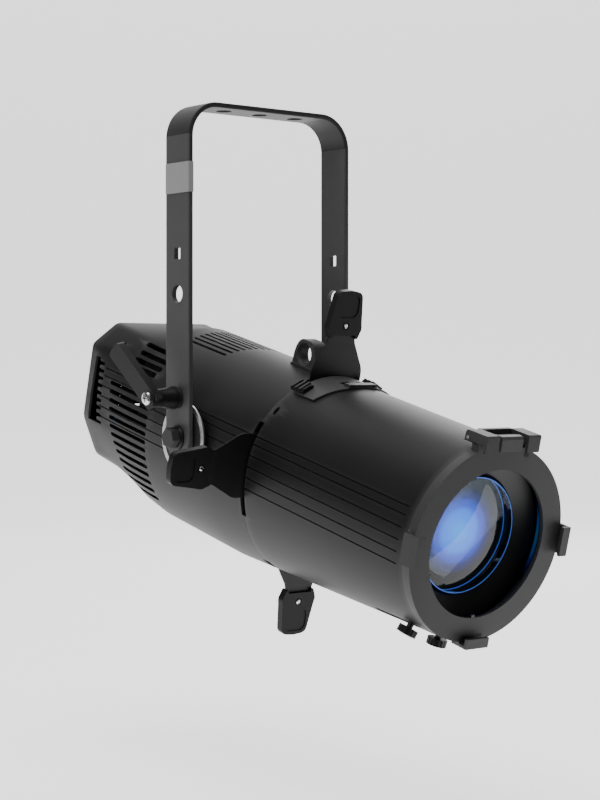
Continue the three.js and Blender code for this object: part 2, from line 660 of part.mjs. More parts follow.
// ---- tilt discs and pivot bolts ----
function tiltDisc(side) {
  const xs = [side * DISC_X[0], side * DISC_X[1]].sort((a, b) => a - b);
  return prismX(ringShape(DISC_R, 4.6, 0, AXIS_DROP), xs[0], xs[1], 12);
}
function pivotBolt() {
  // head outwards along -x, starting at the yoke arm's face
  const flange = prismX(circle(10.8), -3, 0, 7);
  const hex = prismX(polygonAt(9.2, 6), -10.5, -2.9);
  const shank = prismX(circle(4), -0.1, 18, 7);
  return join([flange, hex, shank]);
}
place(barrel, 'tilt_disc_left', tiltDisc(-1), brightSteel);
place(barrel, 'tilt_disc_right', tiltDisc(1), brightSteel);
const boltX = YOKE_SPAN / 2 + STRAP_THICK + GAP;
const boltLeft = place(barrel, 'pivot_bolt_left', pivotBolt(), zincSteel);
boltLeft.position.set(-boltX, 0, AXIS_DROP);
const boltRight = place(barrel, 'pivot_bolt_right', pivotBolt(), zincSteel);
boltRight.position.set(boltX, 0, AXIS_DROP);
boltRight.rotation.z = halfTurn;

// ---- lens carriages ----
const ZOOM = { carriage: [186, 198], lensR: 56, knobT: 268, foot: 85 };
const CARRIAGE_R = 69;
const KNOB_HEIGHT = 6.2;
const POST_IN_KNOB = KNOB_HEIGHT - 2.4;
const LENS_ROOM = 1.2;            // around a lens in its seat
function zoomCarriage() {
  const [t0, t1] = ZOOM.carriage;
  const { lensR, knobT, foot } = ZOOM;
  const ring = prismT(ringShape(CARRIAGE_R, lensR + LENS_ROOM), t0, t1, 12);
  const lip = prismT(ringShape(lensR + 2, lensR - 3), t0 - 2.2, t0 - GAP, 12);
  const bridge = prismT(ringShape(lensR + 5, lensR + LENS_ROOM), t0 - 2.2, t0 + 0.5, 12);
  const [near, far] = [Math.min(t0, knobT - 4), Math.max(t1, knobT + 4)];
  const armBox = boxT([CARRIAGE_R - 1.5, CARRIAGE_R + 2], [near, far], [-5, 5]);
  const arm = rotatedAboutAxis(armBox, KNOB_ANGLES.zoom);
  const stem = prismX(circle(2.6, -knobT, 0), CARRIAGE_R - 1, foot + POST_IN_KNOB, 5);
  const post = rotatedAboutAxis(stem, KNOB_ANGLES.zoom);
  return join([ring, lip, bridge, arm, post]);
}

function runningKnob(knobDegrees, knobT, foot) {
  const body = prismX(circle(8.2, -knobT, 0), foot, foot + KNOB_HEIGHT, 7);
  const bore = prismX(circle(2.9, -knobT, 0), foot - 1, foot + KNOB_HEIGHT - 2, 8);
  const flutes = [];
  for (let i = 0; i < 10; i++) {
    const angle = 2 * halfTurn * i / 10;
    const [y, n] = [-knobT + 9.2 * Math.cos(angle), 9.2 * Math.sin(angle)];
    flutes.push(prismX(polygonAt(1.8, 4, y, n), foot - 2, foot + 11));
  }
  return rotatedAboutAxis(cut(body, [bore, ...flutes]), knobDegrees);
}

const FOCUS = { carriage: [256, 281], lens: [258, 276], lensR: 47, knobT: 276, foot: 84.9 };

// dished holder of the front lens
function focusCarriage() {
  const [rear, front] = FOCUS.carriage;
  const seat = FOCUS.lensR + LENS_ROOM;
  const body = turned([[0, rear], [68, rear], [68, front], [0, front]], 24);
  const dish = turned([
    [0, front - 8], [seat + 2, front - 8], [66, front - 0.2], [66, front + 1], [0, front + 1],
  ], 24);
  const hollow = turned([
    [0, rear - 1], [65, rear - 1], [65, front - 13], [seat + 4, front - 15], [0, front - 15],
  ], 24);
  const bore = turned([[0, rear - 2], [seat, rear - 2], [seat, front + 2], [0, front + 2]], 24);
  const stem = prismX(circle(2.6, -FOCUS.knobT, 0), 66, FOCUS.foot + POST_IN_KNOB, 5);
  const post = rotatedAboutAxis(stem, KNOB_ANGLES.focus);
  const passage = rotatedAboutAxis(boxT([65.6, 90], [rear - 9, front + 9], [-6.5, 6.5]), KNOB_ANGLES.zoom);
  return cut(body.add(post), [dish, hollow, bore, passage]);
}

// front lens: a thick doublet, domed on both faces
function focusLens() {
  const [rear, front] = FOCUS.lens;
  const profile = [[0, rear - 2], [FOCUS.lensR, rear], [FOCUS.lensR, front]];
  for (const share of [0.75, 0.5, 0.25, 0]) {
    profile.push([FOCUS.lensR * share, front + 7 * (1 - share ** 2)]);
  }
  return turned(profile, 24);
}

place(barrel, 'zoom_carriage', zoomCarriage(), moulded);
place(barrel, 'zoom_lens', lensSolid(ZOOM.lensR, ZOOM.carriage[0] + 0.4, 5, 14), glass);
place(barrel, 'zoom_knob', runningKnob(KNOB_ANGLES.zoom, ZOOM.knobT, ZOOM.foot), moulded);
place(barrel, 'focus_carriage', focusCarriage(), moulded);
place(barrel, 'focus_lens', focusLens(), glass);
place(barrel, 'focus_knob', runningKnob(KNOB_ANGLES.focus, FOCUS.knobT, FOCUS.foot), moulded);

// ---- front ring and colour-frame holder ----
const HOOK_WIDTH = 24;
const HOOK_WALL = 80.2;           // inside face of a hook's wall, for a 159 mm frame
const LIP_T = [RING_T + FRAME_SLOT, RING_T + FRAME_SLOT + LIP_THICK];
const GATE_HALF = 29;             // half length of the hinged gate along x
const GATE_PIVOT = [285, 83.5];   // t, n
const GATE_REAR = 282.4;          // clears the barrel when the gate swings up

function frontRing() {
  const back = RING_T - RING_THICK;
  const plate = prismT(circle(RING_R), back, RING_T, 18);
  const skirt = prismT(circle(HALF_WIDTH - WALL - 1.5), back - 5.5, back + 0.5, 12);
  const bore = turned([
    [0, back - 7], [68, back - 7], [APERTURE_R, RING_T - 3], [APERTURE_R, RING_T + 1], [0, RING_T + 1],
  ], 36);
  const hooks = [0, 180, 270].map((degrees) => {
    const half = HOOK_WIDTH / 2;
    const wall = boxT([HOOK_WALL, HOOK_WALL + 2.4], [back, LIP_T[1]], [-half, half]);
    const foot = boxT([74, HOOK_WALL + 1], [back, RING_T], [-half, half]);
    const lip = boxT([74.5, HOOK_WALL + 1], LIP_T, [-half, half]);
    return rotatedAboutAxis(join([wall, foot, lip]), degrees);
  });
  const lugs = [-1, 1].map((side) => {
    const xs = [side * (GATE_HALF - 7), side * (GATE_HALF - 1)].sort((a, b) => a - b);
    const foot = boxT(xs, [280, RING_T], [70, 80.4]);
    const ear = prismX(circle(3.9, -GATE_PIVOT[0], GATE_PIVOT[1]), xs[0], xs[1], 8);
    const web = boxT(xs, [281.2, 288.8], [78, GATE_PIVOT[1]]);
    return cut(join([foot, ear, web]), [headLoft([[270, 270], [back - GAP, back]], -GAP)]);
  });
  const flats = [
    boxT([-120, -HOOK_WALL - 2.4], [250, 320], [-120, 120]),
    boxT([HOOK_WALL + 2.4, 120], [250, 320], [-120, 120]),
  ];
  const pinHole = prismX(circle(1.9, -GATE_PIVOT[0], GATE_PIVOT[1]), -60, 60, 8);
  return cut(join([plate, skirt, ...hooks, ...lugs]), [...flats, pinHole, bore]);
}

// hinged gate over the top of the frame slot
function frameGate() {
  const lowN = 76;
  const topN = 89.5;
  const front = LIP_T[1];
  const body = boxT([-GATE_HALF, GATE_HALF], [GATE_REAR, front], [lowN, topN]);
  const slotRoom = boxT([-40, 40], [RING_T - 17.6, LIP_T[0]], [60, 81.2]);
  const lugRooms = [-1, 1].map((side) => {
    const xs = [side * (GATE_HALF - 7.4), side * (GATE_HALF - 0.6)].sort((a, b) => a - b);
    return boxT(xs, [278, 291], [60, topN - 0.7]);
  });
  const notch = boxT([-16, 16], [284, front + 1], [60, 100]);
  const bar = boxT([-17, 17], [GATE_REAR, RING_T - 12], [85.5, topN]);
  const pinHole = prismX(circle(1.9, -GATE_PIVOT[0], GATE_PIVOT[1]), -60, 60, 8);
  const latchHole = prismX(circle(1.4, -(front - 4.5), 84.5), -22, 22, 8);
  return cut(cut(body, [slotRoom, ...lugRooms, notch]), [latchHole, pinHole]).add(bar);
}

function frameLatch() {
  const front = LIP_T[1];
  const profile = outline([
    [-(front - 1.4), 76.5], [-(front - 3.2), 76.5], [-(front - 3.6), 81.5], [-(front - 8), 82.5],
    [-289.5, 84.2], [-289.5, 86.2], [-(front - 6.5), 88.6], [-(front - 1.4), 86],
  ]);
  const plate = prismX(profile, -14.5, 14.5);
  const slots = [-8, 0, 8].map((x) => boxT([x - 1.6, x + 1.6], [292, front - 8.5], [70, 100]));
  const trunnions = prismX(circle(1.1, -(front - 4.5), 84.5), -19.5, 19.5, 8);
  return cut(plate, slots).add(trunnions);
}

place(barrel, 'front_ring', frontRing(), castBlack);
place(barrel, 'frame_gate', frameGate(), moulded);
place(barrel, 'gate_pin',
  prismX(circle(1.5, -GATE_PIVOT[0], GATE_PIVOT[1]), -GATE_HALF, GATE_HALF, 8), zincSteel);
place(barrel, 'frame_latch', frameLatch(), bladeBlack);

export default group;
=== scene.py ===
# Looks of the ellipsoidal spotlight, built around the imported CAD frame.
# Pieces of the head are drawn in its own frame, in millimetres: x across, t along the optical axis
# towards the lens, n upwards from the axis. HEAD turns (x, -t, n) into the row frame in metres.
import bpy
import bmesh
import json
import math
from mathutils import Matrix, Vector


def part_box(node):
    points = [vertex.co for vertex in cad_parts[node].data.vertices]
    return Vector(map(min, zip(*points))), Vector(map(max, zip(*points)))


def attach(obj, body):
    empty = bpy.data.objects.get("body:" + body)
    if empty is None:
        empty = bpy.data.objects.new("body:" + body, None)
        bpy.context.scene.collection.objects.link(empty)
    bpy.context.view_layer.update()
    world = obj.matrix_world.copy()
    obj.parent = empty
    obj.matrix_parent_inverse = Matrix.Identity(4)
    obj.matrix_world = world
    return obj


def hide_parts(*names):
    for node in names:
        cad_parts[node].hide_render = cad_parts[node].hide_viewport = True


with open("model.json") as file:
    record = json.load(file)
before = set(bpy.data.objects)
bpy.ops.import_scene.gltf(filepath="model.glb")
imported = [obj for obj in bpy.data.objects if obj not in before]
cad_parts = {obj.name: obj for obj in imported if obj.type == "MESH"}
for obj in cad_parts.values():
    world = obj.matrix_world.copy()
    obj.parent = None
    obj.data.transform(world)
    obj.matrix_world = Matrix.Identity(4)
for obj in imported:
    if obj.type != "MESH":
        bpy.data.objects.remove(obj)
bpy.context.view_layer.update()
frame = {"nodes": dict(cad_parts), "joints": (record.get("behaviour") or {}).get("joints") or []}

# ---- frame ----
MM = 0.001
joints = {j["name"]: j for j in frame["joints"]}
PIVOT = Vector(joints["tilt"]["pos_m"])
FORWARD = Vector(joints["zoom"]["axis"])
UP = Vector(joints["shutter_bottom_slide"]["axis"])
FAN = Vector(joints["fan_spin"]["pos_m"])
AXIS_ORIGIN = FAN + FORWARD * (PIVOT - FAN).dot(FORWARD)
HEAD = Matrix.Translation(AXIS_ORIGIN) @ Matrix((
    (1, 0, 0, 0),
    (0, -FORWARD.y, UP.y, 0),
    (0, -FORWARD.z, UP.z, 0),
    (0, 0, 0, 1),
)) @ Matrix.Scale(MM, 4)
HEAD_INVERSE = HEAD.inverted()
ROW = Matrix.Scale(MM, 4)


def head_box(node):
    """Lowest and highest (x, t, n) of a CAD node in the head's frame, in millimetres."""
    points = [HEAD_INVERSE @ v.co for v in frame["nodes"][node].data.vertices]
    spans = [[p.x for p in points], [-p.y for p in points], [p.z for p in points]]
    return Vector(map(min, spans)), Vector(map(max, spans))


# ---- dimensions of the head, in millimetres ----
HALF_WIDTH = 79
TOP_RISE = 80
WALL = 2.5
REAR_T = round(head_box("rear_housing")[0].y, 1)
SEAM_T = round(head_box("lens_barrel")[0].y, 1)
BARREL_FRONT = round(head_box("lens_barrel")[1].y, 1)
ROUND_T = -98
SHUTTER_T = SEAM_T - 0.15
BELLY = ((-172, 78), (-135, 89.6), (-113, 94.4), (-75, 100), (35, 100), (250, 83.5), (298, 80))
REAR_FACETS = ((0, 76), (50, 84.8), (90, 67), (-28, 78), (-62, 80), (-90, 78))
GROOVES = (158.5, 163.5, 170.5, 177.5, 184.5, 191.5)
GROOVE_SPAN = (-146, 281)
GROOVE_DEPTH = 0.9
RING_T = 298
RING_BACK = 290
PIVOT_RISE = 4             # height of the tilt pivot above the optical axis
BEYOND_SKIN = 110          # a radius outside the skin, where cuts end
UPPER_SLOTS = ((30, -104, -75), (35, -114, -72), (41, -114, -69), (48, -116, -66))  # degrees, t, t
RECESSES = ((91, 139), (91, 41), (-139, 141), (-139, 39))                           # t, degrees
GATE_PIVOT = (285, 83.5)   # t and n of the frame gate's hinge
KNOB_ANGLES = {"zoom": -117, "focus": -99}
KNOB_T = {"zoom": 268, "focus": 276}


# ---- mesh building ----
def mesh_object(name, verts, faces, matrix=HEAD):
    mesh = bpy.data.meshes.new(name)
    mesh.from_pydata([matrix @ Vector(v) for v in verts], [], faces)
    work = bmesh.new()
    work.from_mesh(mesh)
    bmesh.ops.remove_doubles(work, verts=work.verts, dist=1e-7)
    bmesh.ops.recalc_face_normals(work, faces=work.faces)
    work.to_mesh(mesh)
    work.free()
    obj = bpy.data.objects.new(name, mesh)
    bpy.context.scene.collection.objects.link(obj)
    return obj


def arc(a, b, radius, start, end, steps=12):
    angles = [math.radians(start + (end - start) * i / steps) for i in range(steps + 1)]
    return [(a + radius * math.cos(v), b + radius * math.sin(v)) for v in angles]


def disc(radius, a=0, b=0, steps=48):
    return arc(a, b, radius, 0, 360, steps)[:-1]


def ellipse(width, height, a):
    return [(a + width * x, height * y) for x, y in disc(1, steps=24)]


def rounded(width, height, radius, a=0, b=0, steps=6):
    w, h = width / 2 - radius, height / 2 - radius
    return (arc(a + w, b + h, radius, 0, 90, steps) + arc(a - w, b + h, radius, 90, 180, steps)
            + arc(a - w, b - h, radius, 180, 270, steps) + arc(a + w, b - h, radius, 270, 360, steps))


def curve(p0, p1, p2, steps=8):
    """Quadratic curve from p0 to p2, without its first point."""
    return [tuple((1 - s) ** 2 * a + 2 * s * (1 - s) * b + s * s * c for a, b, c in zip(p0, p1, p2))
            for s in (i / steps for i in range(1, steps + 1))]


AXES = {
    "x": lambda a, b, h: (h, -a, b),      # outline in (t, n)
    "t": lambda a, b, h: (a, -h, b),      # outline in (x, n)
    "n": lambda a, b, h: (a, -b, h),      # outline in (x, t)
    "X": lambda a, b, h: (h, a, b),       # row frame, outline in (y, z)
    "Z": lambda a, b, h: (a, b, h),       # row frame, outline in (x, y)
}


def prism(outline, low, high, axis):
    put = AXES[axis]
    count = len(outline)
    verts = [put(a, b, low) for a, b in outline] + [put(a, b, high) for a, b in outline]
    sides = [(i, (i + 1) % count, (i + 1) % count + count, i + count) for i in range(count)]
    return verts, [tuple(range(count))[::-1], tuple(range(count, 2 * count))] + sides


def box(xs, ts, ns):
    return prism([(xs[0], ns[0]), (xs[1], ns[0]), (xs[1], ns[1]), (xs[0], ns[1])], ts[0], ts[1], "t")


def lathe(profile, steps=96, centre=(0, 0), axis="t"):
    """Solid turned about an axis; the profile's (radius, height) pairs start and end on it, or it closes."""
    put = AXES[axis]
    closed = profile[0][0] > 0
    rows = [p for p in profile if p[0] > 1e-6]
    verts = []
    for r, h in rows:
        for a, b in disc(r, *centre, steps=steps):
            verts.append(put(a, b, h))
    faces = []
    pairs = list(zip(range(len(rows)), range(1, len(rows))))
    if closed:
        pairs.append((len(rows) - 1, 0))
    for i, j in pairs:
        for k in range(steps):
            m = (k + 1) % steps
            faces.append((i * steps + k, i * steps + m, j * steps + m, j * steps + k))
    if not closed:
        for row, (_, h) in ((0, profile[0]), (len(rows) - 1, profile[-1])):
            tip = len(verts)
            verts.append(put(*centre, h))
            faces += [(row * steps + k, row * steps + (k + 1) % steps, tip) for k in range(steps)]
    return verts, faces


def turned(part, degrees):
    """A part turned about the optical axis, from +x towards +n."""
    turn = Matrix.Rotation(math.radians(-degrees), 4, "Y")
    return [tuple(turn @ Vector(v)) for v in part[0]], part[1]


def raised(part, n):
    return [(a, b, c + n) for a, b, c in part[0]], part[1]


def merged(parts):
    verts, faces = [], []
    for part_verts, part_faces in parts:
        start = len(verts)
        verts += part_verts
        faces += [tuple(i + start for i in face) for face in part_faces]
    return verts, faces


def combine(obj, parts, operation, matrix=HEAD):
    """Joins parts to obj, or cuts them from it, one after another where they may overlap."""
    for part in parts:
        tool = mesh_object("tool", *part, matrix)
        step = obj.modifiers.new("boolean", "BOOLEAN")
        step.operation = operation
        step.object = tool
        step.solver = "EXACT"
        bpy.context.view_layer.update()
        shape = bpy.data.meshes.new_from_object(obj.evaluated_get(bpy.context.evaluated_depsgraph_get()))
        obj.modifiers.clear()
        obj.data = shape
        bpy.data.objects.remove(tool)
    work = bmesh.new()
    work.from_mesh(obj.data)
    bmesh.ops.triangulate(work, faces=[f for f in work.faces if len(f.verts) > 4], ngon_method="EAR_CLIP")
    work.to_mesh(obj.data)
    work.free()
    return obj


def cut(obj, parts, matrix=HEAD):
    """Cuts parts that don't overlap each other, all at once."""
    return combine(obj, [merged(parts)], "DIFFERENCE", matrix)


def join(obj, parts, matrix=HEAD):
    return combine(obj, parts, "UNION", matrix)


def soften(obj, width, segments=2, angle=32):
    if width:
        edge = obj.modifiers.new("edges", "BEVEL")
        edge.width = width * MM
        edge.segments = segments
        edge.limit_method = "ANGLE"
        edge.angle_limit = math.radians(angle)
        edge.harden_normals = True
        edge.use_clamp_overlap = True
        obj.data.shade_smooth()
        even = obj.modifiers.new("normals", "WEIGHTED_NORMAL")
        even.keep_sharp = True
    else:
        obj.data.shade_smooth()
        obj.data.set_sharp_from_angle(angle=math.radians(angle))


def finish(obj, body, material, replaces=(), edge=0.4, segments=2, angle=32):
    obj.data.materials.clear()
    obj.data.materials.append(material)
    soften(obj, edge, segments, angle)
    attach(obj, body)
    if replaces:
        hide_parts(*replaces)
    return obj


def piece(name, part, body, material, replaces=(), cuts=(), edge=0.4, segments=2,
          matrix=HEAD, joins=()):
    obj = mesh_object(name, *part, matrix)
    if joins:
        join(obj, joins, matrix)
    if cuts:
        combine(obj, cuts, "DIFFERENCE", matrix)
    return finish(obj, body, material, replaces, edge, segments)


# ---- materials ----
# Light grey for convex edges: partly wear, partly a painted highlight along the edges.
WEAR_AND_HIGHLIGHT_GREY = (0.2, 0.2, 0.2, 1)


def edges_worn_and_highlit(mat, base, edge_wear_and_highlight):
    """Mixes light grey into the base colour where the surface is most convex: edge wear, and a painted
    highlight along the edges.
    """
    nodes, links = mat.node_tree.nodes, mat.node_tree.links
    shape = nodes.new("ShaderNodeNewGeometry")
    edge = nodes.new("ShaderNodeMapRange")
    edge.inputs["From Min"].default_value = 0.52
    edge.inputs["From Max"].default_value = 0.62
    edge.inputs["To Max"].default_value = edge_wear_and_highlight
    links.new(shape.outputs["Pointiness"], edge.inputs["Value"])
    wear_and_highlight_mix = nodes.new("ShaderNodeMix")
    wear_and_highlight_mix.data_type = "RGBA"
    wear_and_highlight_mix.inputs["B"].default_value = WEAR_AND_HIGHLIGHT_GREY
    links.new(base, wear_and_highlight_mix.inputs["A"])
    links.new(edge.outputs["Result"], wear_and_highlight_mix.inputs["Factor"])
    return wear_and_highlight_mix.outputs["Result"]


def material(name, color, roughness, metallic=0.0, grain=1800.0, bump=0.05, blotch=0.04, tint=0.25,
             edge_wear_and_highlight=0.0, specular=0.5, coat=0.0):
    """Satin surface: fine grain bump, slow changes of roughness and tone, and convex edges lightened by wear
    and by a painted edge highlight.
    """
    mat = bpy.data.materials.new(name)
    mat.use_nodes = True
    nodes, links = mat.node_tree.nodes, mat.node_tree.links
    shader = nodes["Principled BSDF"]
    shader.inputs["Metallic"].default_value = metallic
    shader.inputs["Specular IOR Level"].default_value = specular
    shader.inputs["Coat Weight"].default_value = coat
    place = nodes.new("ShaderNodeTexCoord")
    slow = nodes.new("ShaderNodeTexNoise")
    slow.inputs["Scale"].default_value = 14.0
    slow.inputs["Detail"].default_value = 4.0
    links.new(place.outputs["Object"], slow.inputs["Vector"])
    rough = nodes.new("ShaderNodeMapRange")
    rough.inputs["To Min"].default_value = roughness - blotch
    rough.inputs["To Max"].default_value = roughness + blotch
    links.new(slow.outputs["Fac"], rough.inputs["Value"])
    links.new(rough.outputs["Result"], shader.inputs["Roughness"])
    tone = nodes.new("ShaderNodeMix")
    tone.data_type = "RGBA"
    tone.inputs["A"].default_value = (*[c * (1 - tint) for c in color], 1)
    tone.inputs["B"].default_value = (*[c * (1 + tint) for c in color], 1)
    links.new(slow.outputs["Fac"], tone.inputs["Factor"])
    base = tone.outputs["Result"]
    links.new(edges_worn_and_highlit(mat, base, edge_wear_and_highlight) if edge_wear_and_highlight else base, shader.inputs["Base Color"])
    fine = nodes.new("ShaderNodeTexNoise")
    fine.inputs["Scale"].default_value = grain
    fine.inputs["Detail"].default_value = 2.0
    links.new(place.outputs["Object"], fine.inputs["Vector"])
    relief = nodes.new("ShaderNodeBump")
    relief.inputs["Strength"].default_value = bump
    relief.inputs["Distance"].default_value = 0.0004
    links.new(fine.outputs["Fac"], relief.inputs["Height"])
    links.new(relief.outputs["Normal"], shader.inputs["Normal"])
    return mat


def brushed(name, color, roughness, centre=None):
    """Metal with fine brush lines: rings about a centre, or straight along y."""
    mat = material(name, color, roughness, metallic=1.0, grain=900.0, bump=0.03, tint=0.08)
    nodes, links = mat.node_tree.nodes, mat.node_tree.links
    place = nodes.new("ShaderNodeTexCoord")
    shift = nodes.new("ShaderNodeMapping")
    shift.inputs["Location"].default_value = [-c for c in centre] if centre else (0, 0, 0)
    lines = nodes.new("ShaderNodeTexWave")
    lines.wave_type = "RINGS" if centre else "BANDS"
    if centre:
        lines.rings_direction = "X"
    lines.inputs["Scale"].default_value = 450.0
    lines.inputs["Distortion"].default_value = 1.5
    lines.inputs["Detail"].default_value = 3.0
    relief = nodes.new("ShaderNodeBump")
    relief.inputs["Strength"].default_value = 0.12
    relief.inputs["Distance"].default_value = 0.0002
    links.new(place.outputs["Object"], shift.inputs["Vector"])
    links.new(shift.outputs["Vector"], lines.inputs["Vector"])
    links.new(lines.outputs["Fac"], relief.inputs["Height"])
    links.new(relief.outputs["Normal"], nodes["Principled BSDF"].inputs["Normal"])
    return mat


def optical_glass(name, color):
    mat = material(name, color, 0.02, grain=300.0, bump=0.0, blotch=0.01, tint=0.05)
    shader = mat.node_tree.nodes["Principled BSDF"]
    shader.inputs["Transmission Weight"].default_value = 1.0
    shader.inputs["IOR"].default_value = 1.46
    shader.inputs["Specular IOR Level"].default_value = 0.06
    return mat


def glow(name, radius_m, centre, strength):
    """Lit lens: white-blue at its middle, deep blue outwards, dark beyond the radius."""
    mat = bpy.data.materials.new(name)
    mat.use_nodes = True
    nodes, links = mat.node_tree.nodes, mat.node_tree.links
    shader = nodes["Principled BSDF"]
    shader.inputs["Roughness"].default_value = 0.8
    shader.inputs["Specular IOR Level"].default_value = 0.0
    place = nodes.new("ShaderNodeTexCoord")
    away = nodes.new("ShaderNodeVectorMath")
    away.operation = "DISTANCE"
    away.inputs[1].default_value = centre
    ramp = nodes.new("ShaderNodeValToRGB")
    share = nodes.new("ShaderNodeMath")
    share.operation = "DIVIDE"
    share.inputs[1].default_value = radius_m
    stops = ((0.0, (0.03, 0.36, 1.0)), (0.40, (0.015, 0.22, 0.95)), (0.62, (0.003, 0.05, 0.50)),
             (0.82, (0.0005, 0.006, 0.09)), (1.0, (0.0, 0.0, 0.001)))
    ramp.color_ramp.interpolation = "EASE"
    elements = ramp.color_ramp.elements
    elements[0].position, elements[0].color = stops[0][0], (*stops[0][1], 1)
    elements[1].position, elements[1].color = stops[-1][0], (*stops[-1][1], 1)
    for at, color in stops[1:-1]:
        elements.new(at).color = (*color, 1)
    links.new(place.outputs["Object"], away.inputs[0])
    links.new(away.outputs["Value"], share.inputs[0])
    links.new(share.outputs["Value"], ramp.inputs["Fac"])
    links.new(ramp.outputs["Color"], shader.inputs["Emission Color"])
    shader.inputs["Emission Strength"].default_value = strength
    shader.inputs["Base Color"].default_value = (0.004, 0.006, 0.012, 1)
    return mat


def lit(mat, color, strength):
    shader = mat.node_tree.nodes["Principled BSDF"]
    shader.inputs["Emission Color"].default_value = color
    shader.inputs["Emission Strength"].default_value = strength


CAST = material("cast_black", (0.013, 0.013, 0.014), 0.48, grain=2200, bump=0.10, edge_wear_and_highlight=0.25, specular=0.26)
BARREL = material("barrel_black", (0.012, 0.012, 0.013), 0.47, grain=2200, bump=0.08, edge_wear_and_highlight=0.2,
                  specular=0.24)
STRAP = material("strap_black", (0.026, 0.026, 0.027), 0.50, grain=2600, bump=0.12, edge_wear_and_highlight=0.3, specular=0.3)
MOULDED = material("moulded_black", (0.007, 0.007, 0.008), 0.42, grain=3200, bump=0.12, specular=0.3)
GRIPS = material("grip_black", (0.003, 0.003, 0.0035), 0.42, grain=3600, bump=0.14, edge_wear_and_highlight=0.05, specular=0.14)
BLADE = material("blade_black", (0.006, 0.006, 0.0065), 0.42, grain=1400, bump=0.06, edge_wear_and_highlight=0.4, specular=0.25)
INNER = material("inner_black", (0.006, 0.006, 0.007), 0.34, grain=1600, bump=0.05)
LABEL = material("label_grey", (0.36, 0.36, 0.36), 0.55, grain=2400, bump=0.06, tint=0.05)
BRIGHT = brushed("bright_steel", (0.62, 0.62, 0.63), 0.30, centre=PIVOT)
SCREW = material("screw_steel", (0.72, 0.72, 0.73), 0.24, metallic=1.0, grain=1200, bump=0.04, tint=0.06)
ZINC = material("zinc_steel", (0.34, 0.34, 0.35), 0.38, metallic=1.0, grain=1400, bump=0.08, tint=0.12)
DARK_BOLT = material("black_bolt", (0.022, 0.022, 0.024), 0.38, metallic=0.4, grain=1500, bump=0.08,
                     edge_wear_and_highlight=0.5)
ALUMINIUM = brushed("aluminium", (0.50, 0.51, 0.52), 0.36)
FINS = material("anodised_black", (0.012, 0.012, 0.013), 0.5, metallic=0.5, grain=1500, bump=0.06)
BLUE_PLUG = material("connector_blue", (0.02, 0.07, 0.30), 0.42, grain=2600, bump=0.08)
GREY_PLUG = material("connector_grey", (0.34, 0.34, 0.34), 0.45, grain=2600, bump=0.08)
SCREEN = material("display_glass", (0.003, 0.004, 0.006), 0.12, grain=400, bump=0.01, coat=0.6)
BOARD = material("board_green", (0.010, 0.085, 0.030), 0.40, grain=700, bump=0.10)
GLASS = optical_glass("lens_glass", (0.72, 0.84, 1.0))
LED = glow("led_emitter", 0.017, HEAD @ Vector((0, 60.5, 0)), 0.15)
LIT_LENS = glow("lit_lens", 0.034, HEAD @ Vector((0, -255, 0)), 1.5)
HOOD_GLOW = glow("hood_glow", 0.034, HEAD @ Vector((65, -288, 0)), 0.10)
# Blue rings that glow at the lens rims: painted glints of the lamp's light, not parts.
RIM_GLOW = material("lens_rim_glint", (0.10, 0.22, 0.9), 0.15, grain=500, bump=0.0)
lit(RIM_GLOW, (0.10, 0.28, 1.0, 1), 0.35)

KEEP = {
    "clamp_jaw": ZINC, "clamp_stud": ZINC, "heat_sink": FINS, "led_board": BOARD, "led_array": LED,
    "light_pipe": INNER, "bulkhead": INNER, "driver_board": BOARD, "gate_plate_rear": INNER,
    "gate_plate_front": INNER,
}


# ---- outline of the head ----
def belly(t):
    for (t0, b0), (t1, b1) in zip(BELLY, BELLY[1:]):
        if t <= t1:
            break
    return b0 + (b1 - b0) * min(1, max(0, (t - t0) / (t1 - t0)))


def head_radius(t, angle, inset=0.0):
    c, s = math.cos(angle), math.sin(angle)
    rise = (TOP_RISE if s > 0 else belly(t)) - inset
    around = 1 / math.hypot(c / (HALF_WIDTH - inset), s / rise)
    blend = min(1, max(0, (ROUND_T - t) / (ROUND_T - REAR_T)))
    if not blend:
        return around
    power = 90
    total = 0
    for degrees, distance in REAR_FACETS:
        for facing in {degrees, 180 - degrees}:
            lean = math.cos(angle - math.radians(facing))
            if lean > 0.2:
                total += ((distance - inset) / lean) ** -power
    return around + (total ** (-1 / power) - around) * blend


def in_groove(t, degrees):
    if not GROOVE_SPAN[0] < t < GROOVE_SPAN[1]:
        return False
    return any(abs(degrees - g) < 0.36 or abs(180 - degrees - g) % 360 < 0.36
               or abs((180 - degrees) % 360 - g) < 0.36 for g in GROOVES)


def skin_angles():
    angles = {i * 2.0 for i in range(180)}
    for g in GROOVES:
        for side in (g, (180 - g) % 360):
            angles = {a for a in angles if abs(a - side) > 0.9}
            angles |= {side - 0.55, side - 0.35, side + 0.35, side + 0.55}
    return sorted(a % 360 for a in angles)


def shell(name, low, high, stations):
    """Hollow skin of the head between two stations, open at both ends, with the side grooves."""
    angles = skin_angles()
    count = len(angles)
    ts = sorted({low, high, *[t for t in stations if low < t < high]})
    rows = [(t, 0.0) for t in ts] + [(t, WALL) for t in reversed(ts)]
    verts = []
    for t, inset in rows:
        for degrees in angles:
            angle = math.radians(degrees)
            r = head_radius(t, angle, inset)
            if not inset and in_groove(t, degrees):
                r -= GROOVE_DEPTH
            verts.append((r * math.cos(angle), -t, r * math.sin(angle)))
    faces = []
    for i in range(len(rows)):
        j = (i + 1) % len(rows)
        for k in range(count):
            m = (k + 1) % count
            faces.append((i * count + k, i * count + m, j * count + m, j * count + k))
    return mesh_object(name, verts, faces)


def capsule(t0, t1, width):
    """Outline in (t, n) of a slot with rounded ends."""
    r = width / 2
    return arc(t1 - r, 0, r, -90, 90, 6) + arc(t0 + r, 0, r, 90, 270, 6)


def slot_through(t0, t1, width, n, side):
    """Slot along t through the left or right wall."""
    outline = [(t, n + h) for t, h in capsule(t0, t1, width)]
    low, high = (25, 95) if side > 0 else (-95, -25)
    return prism(outline, low, high, "x")


def radial_slot(degrees, t0, t1, width, low=60):
    return turned(prism(capsule(t0, t1, width), low, BEYOND_SKIN, "x"), degrees)


